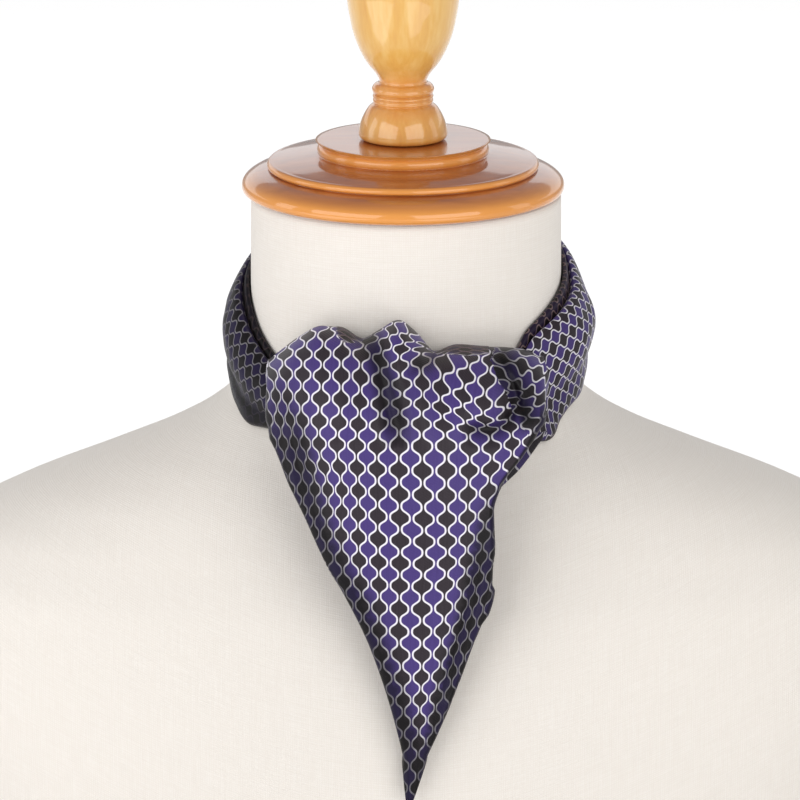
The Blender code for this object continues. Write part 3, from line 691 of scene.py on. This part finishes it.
def varnished_wood(name, stretch, stops, upright_colour, upright_share):
    """Turned hardwood, stained and varnished: long grain streaks and pores under a smooth clear coat. Its
    upright sides are painted lighter than its flats, painted light for how the light falls on them."""
    made, tree, shader = new_finish(name)
    here = add(tree, "TexCoord").outputs["Object"]
    laid = add(tree, "Mapping", {0: here, "Scale": stretch})
    streaks = {"Vector": laid, "Scale": 1.0, "Detail": 4.0, "Roughness": 0.55, "Distortion": 0.4}
    broad = add(tree, "TexNoise", streaks)
    pores = add(tree, "TexNoise", {"Vector": laid, "Scale": 3.0, "Detail": 2.0, "Roughness": 0.5})
    mixed = add(tree, "Math", {0: pores, 1: 0.35, 2: broad}, operation="MULTIPLY_ADD")
    colour = add(tree, "ValToRGB", {0: mixed})
    colours_along(colour, stops)
    # Painted light: upright sides are lighter, towards the given colour, than the flats.
    upright_painted_light = add(tree, "Attribute", attribute_name="upright_painted_light")
    painted_lift = add(tree, "Math", {0: upright_painted_light.outputs["Fac"], 1: upright_share}, operation="MULTIPLY")
    stain_and_painted_light = add(tree, "Mix", {0: painted_lift, 6: colour.outputs[0], 7: linear(upright_colour)}, data_type="RGBA")
    thick = add(tree, "Attribute", attribute_name="stain")
    deeper = {0: thick.outputs["Fac"], 6: stain_and_painted_light.outputs[2], 7: linear(THICK_STAIN)}
    finish = {
        "Base Color": add(tree, "Mix", deeper, data_type="RGBA", blend_type="MULTIPLY").outputs[2],
        "Roughness": add(tree, "MapRange", {"Value": pores, "To Min": 0.26, "To Max": 0.38}),
        "Normal": add(tree, "Bump", {"Height": pores, "Strength": 0.08, "Distance": 0.0002}),
        "Coat Weight": 1.0,
        "Coat Roughness": 0.07,
        "Coat IOR": 1.65,
        "Specular IOR Level": 0.2,
    }
    feed(tree, shader, finish)
    return made


# ====== the dress form's meshes
def form_surface(turn, drop, out=0.0):
    """A point on the form, or a little out from it: turn is 0 at the front and 90 at +X."""
    angle = np.radians(turn)
    side, ahead = np.sin(angle), np.cos(angle)
    power = 2.0 / through(FORM_SECTIONS, "square", drop)
    front, back = through(FORM_SECTIONS, "front", drop), through(FORM_SECTIONS, "back", drop)
    reach = np.where(ahead > 0, front, back)
    x = (through(FORM_SECTIONS, "half_width", drop) + out) * np.sign(side) * np.abs(side) ** power
    depth = (reach + out) * np.sign(ahead) * np.abs(ahead) ** power
    return place(x, depth, drop)


def form_depth(x, drop, out):
    """Depth at x of a surface that lies out from the form's front."""
    power = through(FORM_SECTIONS, "square", drop)
    share = unit(np.abs(x) / (through(FORM_SECTIONS, "half_width", drop) + out))
    return (through(FORM_SECTIONS, "front", drop) + out) * (1 - share**power) ** (1 / power)


def close_ends(mesh):
    """Turns every face outwards after a loft's rings have been closed."""
    form = bmesh.new()
    form.from_mesh(mesh)
    bmesh.ops.remove_doubles(form, verts=form.verts, dist=1e-6)
    bmesh.ops.recalc_face_normals(form, faces=form.faces)
    form.to_mesh(mesh)
    form.free()


def build_linen_cover(finish):
    """The linen cover from the top of the neck to its bottom edge, closed flat at both ends."""
    turns = np.arange(FORM_SEGMENTS + 1) * 360.0 / FORM_SEGMENTS - 180.0
    drops = np.concatenate([np.linspace(top, foot, rows) for top, foot, rows in FORM_ROWS])
    rings = np.stack([form_surface(turns, np.full(turns.shape, d)) for d in drops])
    round_mm = along(rings, axis=1) / MM
    front = round_mm[:, FORM_SEGMENTS // 2][:, None]
    down_mm = along(rings, axis=0) / MM
    rows, columns = rings.shape[:2]
    faces = grid_faces(rows, columns, False)
    faces.append(list(range(columns - 1)))
    faces.append(list(range((rows - 1) * columns, rows * columns - 1)))
    mesh = mesh_through("linen_cover", rings, faces)
    chart_onto(mesh, "weave", np.stack([round_mm - front, down_mm], axis=-1))
    close_ends(mesh)
    return show("linen_cover", mesh, finish, ["form_body"])


def turned_profile(profile):
    """A turned profile, smooth between its corners."""
    pieces = []
    start = 0
    for i in range(1, len(profile)):
        if profile[i].corner:
            part = [(p.radius, p.height) for p in profile[start : i + 1]]
            count = 2 if len(part) == 2 else (len(part) - 1) * TURNED_STEPS
            line = smooth_line(part, count)
            pieces.append(line if not pieces else line[1:])
            start = i
    return np.concatenate(pieces)


def build_turned(name, profile, finish, node):
    """A piece turned round the neck's axis."""
    line = turned_profile(profile)
    angle = np.arange(TURNED_SEGMENTS) * 2 * math.pi / TURNED_SEGMENTS
    radius, height = line[:, 0][:, None], line[:, 1][:, None] + FORM_HEIGHT + CAP_GAP
    x = CAP_SIDE + radius * np.sin(angle)
    y = AXIS_BACK - radius * np.cos(angle)
    points = np.stack([x, y, np.broadcast_to(height, x.shape)], axis=-1) * MM
    mesh = mesh_through(name, points, grid_faces(len(line), TURNED_SEGMENTS, True))
    heading = np.gradient(line, axis=0)
    upright = np.abs(heading[:, 1]) / np.hypot(heading[:, 0], heading[:, 1])
    # Painted light: a share for how upright the profile stands, lighter where it stands up.
    upright_painted_light = unit((upright - UPRIGHT_LIGHT_FROM) / UPRIGHT_LIGHT_OVER)
    for title, tone in (("upright_painted_light", upright_painted_light), ("stain", through(STAIN, "depth", line[:, 1]))):
        tone_onto(mesh, title, np.repeat(tone, TURNED_SEGMENTS))
    close_ends(mesh)
    return show(name, mesh, finish, [node])


# ====== the front blade's mesh
def fold_share(path, x, drop):
    """How far each point lies to the right of a fold's line, and how far along the fold that is."""
    line = smooth_line(path, FOLD_STEPS)
    heading = np.gradient(line, axis=0)
    gap_x, gap_drop = x[..., None] - line[:, 0], drop[..., None] - line[:, 1]
    away = np.hypot(gap_x, gap_drop)
    i = away.argmin(-1)
    near_x = np.take_along_axis(gap_x, i[..., None], -1)[..., 0]
    near_drop = np.take_along_axis(gap_drop, i[..., None], -1)[..., 0]
    turn = near_x * heading[i, 1] - near_drop * heading[i, 0]
    return away.min(-1) * np.sign(turn), i / (len(line) - 1)


def folds_height(x, drop):
    """What the folds add to the face's depth."""
    x, drop = np.broadcast_arrays(np.asarray(x, float), np.asarray(drop, float))
    height = np.zeros(x.shape)
    for fold in FOLDS:
        aside, share = fold_share(fold.path, x, drop)
        width = np.where(aside > 0, fold.right, fold.left)
        whole = 1 - np.abs(2 * share - 1) ** 4
        height += fold.height * whole * np.exp(-((aside / width) ** 2))
    return height


def ridge_drop(x):
    """Drop of the puff's top edge."""
    return through(RIDGE, "drop", x)


def row_drop(x, level):
    """Drop along a row of the blade: it follows the ridge near the top and lies level lower down."""
    fade = unit((RIDGE_FADE - level) / (RIDGE_FADE - RIDGE_LEVEL))
    fade = fade**2 * (3 - 2 * fade)
    return level + (ridge_drop(x) - RIDGE_LEVEL) * fade


def below_ridge(x, drop):
    """0 at the ridge and 1 where the puff is deepest."""
    return unit((drop - ridge_drop(x)) / ROLL_HEIGHT)


def fallen_share(fall, x, drop):
    """0 up to the line where the cloth turns away, and 1 where it has turned."""
    aside, share = fold_share(fall.path, x, drop)
    return np.clip(aside * fall.side / fall.wide, 0, 1.2) * dying_out(share, 8)


def plain_depth(x, drop):
    """Depth of the front blade's face without its folds: a curved sheet rolled over at the ridge."""
    x, drop = np.broadcast_arrays(np.asarray(x, float), np.asarray(drop, float))
    rolled = ROLL_DEPTH * (1 - np.sqrt(1 - (1 - below_ridge(x, drop)) ** 2))
    fallen = sum(fall.depth * fallen_share(fall, x, drop) ** 2 for fall in FALLS)
    return through(BLADE, "depth", drop) - through(BLADE, "curve", drop) * np.square(x) - rolled - fallen


def behind_tucks(x, drop):
    """How far each point lies behind the creases, below zero in front of them, and which is nearest."""
    every = np.stack([fold_share(tuck.path, x, drop)[0] for tuck in TUCKS])
    return every.max(0), every.argmax(0)


def face_depth(x, drop):
    """Depth of the front blade's face with its folds."""
    x, drop = np.broadcast_arrays(np.asarray(x, float), np.asarray(drop, float))
    height = folds_height(x, drop) * np.sqrt(below_ridge(x, drop))
    aside, which = behind_tucks(x, drop)
    height = height - np.array([t.step for t in TUCKS])[which] * unit(aside / TUCK_STEEP)
    return plain_depth(x, drop) + height


def blade_levels():
    """Levels of the rows from the ridge down to the tip, closer together over the roll."""
    swing = np.linspace(0, math.pi / 2, ROLL_ROWS, endpoint=False)
    over = RIDGE_LEVEL + ROLL_HEIGHT * (1 - np.cos(swing))
    return np.concatenate([over, np.linspace(RIDGE_LEVEL + ROLL_HEIGHT, BLADE_TIP, FACE_ROWS)])


def turned_back(edge, inward, level):
    """The turned edge and flap beyond one end of the face; inward is +1 at the left end."""
    turn, flap = through(BLADE, "turn", level), through(BLADE, "flap", level)
    swing = math.radians(float(through(BLADE, "swing", level)))
    near = edge + inward * EDGE_STEP
    fall = plain_depth(edge, row_drop(edge, level)) - plain_depth(near, row_drop(near, level))
    heading = np.array([-inward * EDGE_STEP, float(fall)])
    heading /= np.linalg.norm(heading)
    here = np.array([edge, float(face_depth(edge, row_drop(edge, level)))])
    out = np.array([-heading[1], heading[0]]) * -inward
    points = []
    for k in range(1, TURN_COLUMNS + 1):
        angle = swing * k / TURN_COLUMNS
        points.append(here + turn * (heading * math.sin(angle) + out * (math.cos(angle) - 1)))
    last = points[-1]
    flap_way = heading * math.cos(swing) - out * math.sin(swing)
    for k in range(1, FLAP_COLUMNS + 1):
        points.append(last + flap_way * flap * k / FLAP_COLUMNS)
    x, depth = np.array(points).T
    left, right = through(BLADE, "left", level), through(BLADE, "right", level)
    drop = row_drop(np.clip(x, left, right), level)
    on_band = unit((BAND_END - drop) / BAND_FADE)
    stand_off = FORM_CLEARANCE + BLADE_WALL_ROOM + (REST_OUT - BLADE_WALL_ROOM) * on_band
    resting = form_depth(x, drop, stand_off)
    return np.stack([x, np.maximum(depth, resting), drop], axis=-1)


def face_row(level):
    """One row of the front blade: left flap and turn, the face, right turn and flap."""
    left, right = through(BLADE, "left", level), through(BLADE, "right", level)
    turn = through(BLADE, "turn", level) * min(1.0, float(through(BLADE, "swing", level)) / 90.0)
    x = np.linspace(left + turn, right - turn, FACE_COLUMNS)
    drop = row_drop(x, level)
    face = np.stack([x, face_depth(x, drop), drop], axis=-1)
    start = turned_back(x[0], 1.0, level)[::-1]
    end = turned_back(x[-1], -1.0, level)
    return np.concatenate([start, face, end])


def back_row(below, ridge_x):
    """One row behind the ridge: below is the distance down from the ridge."""
    top_depth = face_depth(ridge_x, ridge_drop(ridge_x))
    x = ridge_x * (1 - BACK_NARROWING * below / (ROLL_BACK_HEIGHT + BACK_WALL))
    drop = ridge_drop(ridge_x) + below
    aside = unit((np.abs(x) - BACK_MIDDLE) / (BACK_EDGE - BACK_MIDDLE))
    beside = FORM_CLEARANCE + BLADE_WALL_ROOM / 2
    stand_off = beside + (BACK_REST_OUT - beside) * aside**2 * (3 - 2 * aside)
    foot = np.maximum(top_depth - ROLL_BACK_DEPTH, form_depth(x, drop, stand_off))
    share = min(1.0, below / ROLL_BACK_HEIGHT)
    depth = top_depth - (top_depth - foot) * math.sqrt(1 - (1 - share) ** 2)
    return np.stack([x, depth, drop], axis=-1)


def unrolled(x, drop):
    """Drop that each point would have if the roll were laid out flat above the puff's fullest line."""
    share = np.linspace(0, 1, UNROLL_STEPS) ** 2
    rolled = ROLL_DEPTH * (1 - np.sqrt(1 - (1 - share) ** 2))
    length = along(np.stack([ROLL_HEIGHT * share, rolled], axis=-1))
    gained = length[-1] - length - ROLL_HEIGHT * (1 - share)
    return drop - np.interp(below_ridge(x, drop), share, gained)


def plate(squared_away):
    """How a thin plate bends round a point, by the squared distance from it."""
    return 0.5 * squared_away * np.log(np.maximum(squared_away, 1e-12))


def grain_at(knots, x, drop):
    """Column and row of the woven figure at each point, by a thin plate bent through the knots."""
    knot_x, knot_drop = np.array([k.x for k in knots]), np.array([k.drop for k in knots])
    known = np.stack([knot_x, unrolled(knot_x, knot_drop)], axis=-1) / FLAT_UNIT
    value = np.array([(k.column, k.row) for k in knots], float)
    apart = ((known[:, None] - known[None]) ** 2).sum(-1)
    flat = np.column_stack([np.ones(len(known)), known])
    size = len(known)
    system = np.zeros((size + 3, size + 3))
    system[:size, :size] = plate(apart) + PLATE_EASE * np.eye(size)
    system[:size, size:] = flat
    system[size:, :size] = flat.T
    weights = np.linalg.solve(system, np.concatenate([value, np.zeros((3, 2))]))
    at = np.stack([x, unrolled(x, drop)], axis=-1).reshape(-1, 2) / FLAT_UNIT
    bent = plate(((at[:, None] - known[None]) ** 2).sum(-1)) @ weights[:size]
    return (bent + np.column_stack([np.ones(len(at)), at]) @ weights[size:]).reshape(x.shape + (2,))


def carried_on(chart, points, first, last, behind, back_step):
    """Carries the grain past the face: round the turned edges by length, and down behind the ridge."""
    across = along(points, axis=1) / MM
    for edge, inner in ((first, first + 4), (last, last - 4)):
        slope = (chart[:, inner] - chart[:, edge]) / (across[:, inner] - across[:, edge])[:, None]
        columns = range(0, edge) if edge == first else range(edge + 1, points.shape[1])
        for c in columns:
            chart[:, c] = chart[:, edge] + slope * (across[:, c] - across[:, edge])[:, None]
    down = along(points, axis=0) / MM
    for r in range(behind):
        chart[r] = chart[behind] + (down[behind] - down[r])[:, None] * np.array(back_step)
    return chart


def blade_tones(x, drop, tucked, behind, first, last):
    """How much warm painted shade each point gets in the puff's inside, and how much dusky painted shade.
    """
    warm_painted_shade = unit(tucked / TUCK_SOFT) * REAR_SHADE
    for h in WARM_SHADE_SPOTS:
        away = ((x - h.x) / h.wide) ** 2 + ((drop - h.drop) / h.tall) ** 2
        warm_painted_shade = np.maximum(warm_painted_shade, h.depth * np.exp(-away))
    warm_painted_shade[:behind] = FOOT_SHADE
    shade = np.clip(-folds_height(x, drop) / DARK_TROUGH, 0, TROUGH_SHADE)
    for soft in SHADES:
        aside, share = fold_share(soft.path, x, drop)
        spread = np.where(aside > 0, soft.right, soft.left)
        shade = np.maximum(shade, soft.depth * dying_out(share, 7) * np.exp(-((aside / spread) ** 2)))
    turned = np.maximum(shade, TURNED_SHADE * unit((drop - TURNED_FROM) / TURNED_OVER))
    shade[:, :first] = turned[:, :first]
    shade[:, last + 1 :] = turned[:, last + 1 :]
    # Painted light: beside the valley's line the bulge keeps less of its painted shade.
    seam, _ = fold_share(VALLEY_LINE, x, drop)
    painted_edge_light = unit(-2 * seam) * unit((seam + BULGE_EDGE) / 4) * unit((BULGE_FOOT - drop) / 3)
    return {"warm_painted_shade": warm_painted_shade, "dusky_painted_shade": shade * (1 - BULGE_PAINTED_LIGHT * painted_edge_light)}


def build_front_blade(finish):
    """The front blade from its hidden foot, over the ridge and down to its tip."""
    face = np.stack([face_row(level) for level in blade_levels()])
    swing = np.linspace(math.pi / 2, 0, BACK_ROWS, endpoint=False)
    belows = list(np.linspace(ROLL_BACK_HEIGHT + BACK_WALL, ROLL_BACK_HEIGHT, 6, endpoint=False))
    belows += [ROLL_BACK_HEIGHT * (1 - math.cos(s)) for s in swing]
    grid = np.concatenate([np.stack([back_row(below, face[0, :, 0]) for below in belows]), face])
    points = placed(grid)
    x, drop = grid[..., 0].copy(), grid[..., 2].copy()
    behind = len(belows)
    x[:behind], drop[:behind] = x[behind], drop[behind]
    first = TURN_COLUMNS + FLAP_COLUMNS
    last = first + FACE_COLUMNS - 1
    face_chart, valley_chart = (
        carried_on(grain_at(knots, x, drop), points, first, last, behind, back_step)
        for knots, back_step in ((FACE_GRAIN, (0.0, -1 / ROW_LONG)), (VALLEY_GRAIN, (1 / COLUMN_WIDE, 0.0)))
    )
    tucked, which = behind_tucks(x, drop)
    crowd = np.array([t.crowd for t in TUCKS])[which]
    rear = np.stack([REAR_START + crowd * along(points, axis=0) / MM, x / ROW_LONG], axis=-1)
    near_tuck = (tucked > -TUCK_EDGE) & (x < TUCK_RIGHT)
    valley_chart = np.where(near_tuck[..., None], rear, valley_chart)
    beyond = np.where(near_tuck, tucked, fold_share(VALLEY_LINE, x, drop)[0])
    charts = {"grain": face_chart, "grain_beyond": valley_chart}
    tones = {"beyond_valley": beyond} | blade_tones(x, drop, tucked, behind, first, last)
    return cloth("front_blade_silk", points, SILK_WALL, finish, ["front_blade"], charts, tones)


# ====== the under blade's mesh
def build_under_blade(finish):
    """The second blade, which lies behind the first."""
    rows = []
    for level in np.linspace(UNDER[0].drop, UNDER[-1].drop, UNDER_ROWS):
        x = np.linspace(through(UNDER, "left", level), through(UNDER, "right", level), UNDER_COLUMNS)
        drop = np.full(x.shape, level)
        turn = through(BLADE, "turn", drop)
        flat = through(BLADE, "depth", drop) - through(BLADE, "curve", drop) * np.square(x)
        depth = flat - 2 * turn - BLADE_WALL_ROOM - UNDER_SPACE
        aside = unit((x - UNDER_FALL_START) / (x[-1] - UNDER_FALL_START))
        depth = depth - through(UNDER, "fall", level) * aside**1.5
        tuck = unit((UNDER_TUCK_DROP - level) / (UNDER_TUCK_DROP - UNDER[0].drop)) ** 1.5
        resting = form_depth(x, drop, CROSSING_REST_OUT)
        depth = np.minimum(depth, depth + (resting - depth) * tuck)
        rows.append(np.stack([x, depth, drop], axis=-1))
    grid = np.stack(rows)
    points = placed(grid)
    across = along(points, axis=1) / MM
    chart = np.stack([across / COLUMN_WIDE, grid[..., 2] / ROW_LONG], axis=-1)
    # Painted shade: dusky all over, none warm.
    tones = {"warm_painted_shade": np.zeros(chart.shape[:2]), "dusky_painted_shade": np.full(chart.shape[:2], UNDER_SHADE)}
    return cloth("under_blade_silk", points, SILK_WALL, finish, ["under_blade"], {"grain": chart}, tones)


# ====== the neckband's mesh
def band_section():
    """The neckband's folded section as a smooth line: out for a puff of 1, and share of its height."""
    path = [(p.out / BAND_TALL, p.fall) for p in BAND_SECTION]
    return smooth_line(path, BAND_ROUND) * (BAND_TALL, 1)


def pleats_out(turn, fall):
    """How far the uneven pleats stand out or in, at one place round the neck."""
    total = np.zeros(fall.shape)
    for pleat in PLEATS:
        share = (turn - pleat.start) / (pleat.end - pleat.start)
        if 0 < share < 1:
            middle = pleat.fall_start + (pleat.fall_end - pleat.fall_start) * share
            fade = math.sin(math.pi * share) ** 0.6
            total += pleat.depth * fade * np.exp(-(((fall - middle) / pleat.width) ** 2))
    return total


def band_points(start, end, stations):
    """A stretch of neckband as a grid, one folded section for each place round the neck."""
    section = band_section()
    outside = unit((section[:, 0] - PLEATS_FROM) / PLEATS_OVER)
    rows = []
    for turn in np.linspace(start, end, stations):
        top, tall, puff, lift = (float(through(BAND, column, turn)) for column in BandStation._fields[1:])
        fall = section[:, 1]
        out = section[:, 0] * puff + FORM_CLEARANCE + lift + pleats_out(turn % 360, fall) * outside
        rows.append(form_surface(np.full(fall.shape, turn), top + fall * tall, out))
    return np.stack(rows)


def build_band(name, start, end, stations, finish, nodes):
    """A stretch of the neckband between two places round the neck, in degrees."""
    points = band_points(start, end, stations)
    across = along(points, axis=1) / MM
    across = across - across[:, BAND_ROUND // 2][:, None]
    length = along(points[:, int(BAND_ROUND * OUTER_LINE)], axis=0)[:, None] / MM
    down, round_neck = across * GATHER_ACROSS / COLUMN_WIDE, length * GATHER_ALONG / ROW_LONG
    chart = np.stack([down, round_neck + 0 * across], axis=-1)
    out, fall = band_section().T
    turn = np.linspace(start, end, stations)[:, None]
    # Painted shade: warm inside the fold up to its mouth, dusky all round and more so at the side and below
    # the middle.
    inside = unit((BAND_MOUTH - out) / BAND_MOUTH_SOFT) * BAND_INSIDE_SHADE
    dim = BAND_SHADE + BAND_SIDE_SHADE * unit((turn - 180) / 90) + BAND_LOW_SHADE * unit((fall - 0.5) * 3)
    tones = {title: np.broadcast_to(t, across.shape) for title, t in (("warm_painted_shade", inside), ("dusky_painted_shade", dim))}
    return cloth(name, points, SILK_WALL, finish, nodes, {"grain": chart}, tones)


# ====== floor, lights and camera
FLOOR_HALF = 14.0
WORLD_LIGHT = 0.38
THROAT = (0, -0.05, 0.35)
Light = namedtuple("Light", "name at towards wide tall watts colour")
LIGHTS = table(
    Light,
    ("right_softbox", (1.5, -2.4, 1.3), THROAT, 2.6, 1.9, 30.5, (1.0, 0.985, 0.96)),
    ("left_softbox", (-1.9, -2.1, 1.3), THROAT, 2.8, 1.9, 31.5, (1.0, 0.99, 0.98)),
    ("left_fill", (-2.6, 0.1, 0.9), THROAT, 0.8, 1.6, 6, (1.0, 0.99, 0.98)),
    ("right_fill", (2.6, 0.1, 0.9), THROAT, 0.8, 1.6, 4, (1.0, 0.98, 0.95)),
    ("backdrop_light", (0.0, 1.75, 0.62), (0, 1.75, 0.0), 3.2, 2.5, 20, (1.0, 1.0, 1.0)),
    # Two low cards in front that face up, for the tall pale windows in the finial's varnish.
    ("left_floor_card", (-0.92, -0.77, 0.02), (-0.92, -0.77, 1.0), 1.1, 1.1, 4.4, (1.0, 0.99, 0.97)),
    ("right_floor_card", (0.55, -1.07, 0.02), (0.55, -1.07, 1.0), 0.8, 1.1, 3.3, (1.0, 0.99, 0.97)),
)
CAMERA_TARGET = (-0.00243, -0.078, 0.3152)
CAMERA_LIFT = 14.2  # degrees above level
CAMERA_AWAY = 3.0
SENSOR = 36.0
VIEW_WIDE = 0.324  # metres seen across the view, this far from the camera
VIEW_AWAY = 3.083


def build_floor():
    """A plain pale floor, wide enough to fill the view."""
    corners = np.array([(-1, -1, 0), (1, -1, 0), (1, 1, 0), (-1, 1, 0)]) * FLOOR_HALF
    mesh = mesh_through("studio_floor", corners, [(0, 1, 2, 3)])
    made, tree, shader = new_finish("matt_white_floor")
    feed(tree, shader, {"Base Color": linear("#F6F6F6"), "Roughness": 0.9})
    mesh.materials.append(made)
    put_in("studio_floor", mesh)


def hang_light(light):
    """A soft rectangular light that faces a place."""
    lamp = bpy.data.lights.new(light.name, "AREA")
    lamp.shape = "RECTANGLE"
    lamp.size = light.wide
    lamp.size_y = light.tall
    lamp.energy = light.watts
    lamp.color = light.colour
    hung = put_in(light.name, lamp)
    hung.location = light.at
    way = Vector(light.towards) - Vector(light.at)
    hung.rotation_euler = way.to_track_quat("-Z", "Y").to_euler()


def light_and_frame():
    """Soft studio light all round, and the camera."""
    scene = bpy.context.scene
    scene.world = bpy.data.worlds.new("studio_air")
    scene.world.use_nodes = True
    air = scene.world.node_tree
    feed(air, air.nodes["Background"], {"Color": (1.0, 1.0, 1.0, 1.0), "Strength": WORLD_LIGHT})
    for light in LIGHTS:
        hang_light(light)
    scene.view_settings.view_transform = "Standard"
    lift = math.radians(CAMERA_LIFT)
    camera_data = bpy.data.cameras.new("camera")
    camera_data.sensor_width = SENSOR
    camera_data.lens = SENSOR * VIEW_AWAY / VIEW_WIDE
    camera = put_in("camera", camera_data)
    camera.location = np.array(CAMERA_TARGET) + CAMERA_AWAY * np.array([0, -math.cos(lift), math.sin(lift)])
    camera.rotation_euler = (math.radians(90 - CAMERA_LIFT), 0.0, 0.0)
    scene.camera = camera


# ====== everything
blade_silk = woven_silk("woven_silk_blade", True)
plain_silk = woven_silk("woven_silk_band", False)
front_blade = build_front_blade(blade_silk)
under_blade = build_under_blade(plain_silk)
half_gap = math.degrees(SEAM_GAP / 2 / FORM_SECTIONS[0].half_width)
neckband = build_band(
    "neckband_silk",
    30.0 + half_gap,
    330.0 - half_gap,
    BAND_STATIONS,
    plain_silk,
    ["neckband_right", "neckband_back", "neckband_left"],
)
crossing = build_band(
    "throat_crossing_silk",
    -30.0 + half_gap,
    30.0 - half_gap,
    CROSSING_STATIONS,
    plain_silk,
    ["throat_crossing"],
)
build_linen_cover(plain_linen())
cap_wood = varnished_wood(
    "varnished_beech_cap",
    (9.0, 60.0, 260.0),
    ((0.35, "#8F441C"), (0.60, "#A65826"), (0.85, "#BC6C34")),
    "#F0A048",
    0.9,
)
finial_wood = varnished_wood(
    "varnished_beech_finial",
    (160.0, 160.0, 7.0),
    ((0.35, "#DA9A42"), (0.60, "#E8B252"), (0.85, "#F1C878")),
    "#EFC078",
    0.3,
)
build_turned("turned_cap", CAP_PROFILE, cap_wood, "form_cap")
build_turned("turned_finial", FINIAL_PROFILE, finial_wood, "form_finial")

build_floor()
light_and_frame()
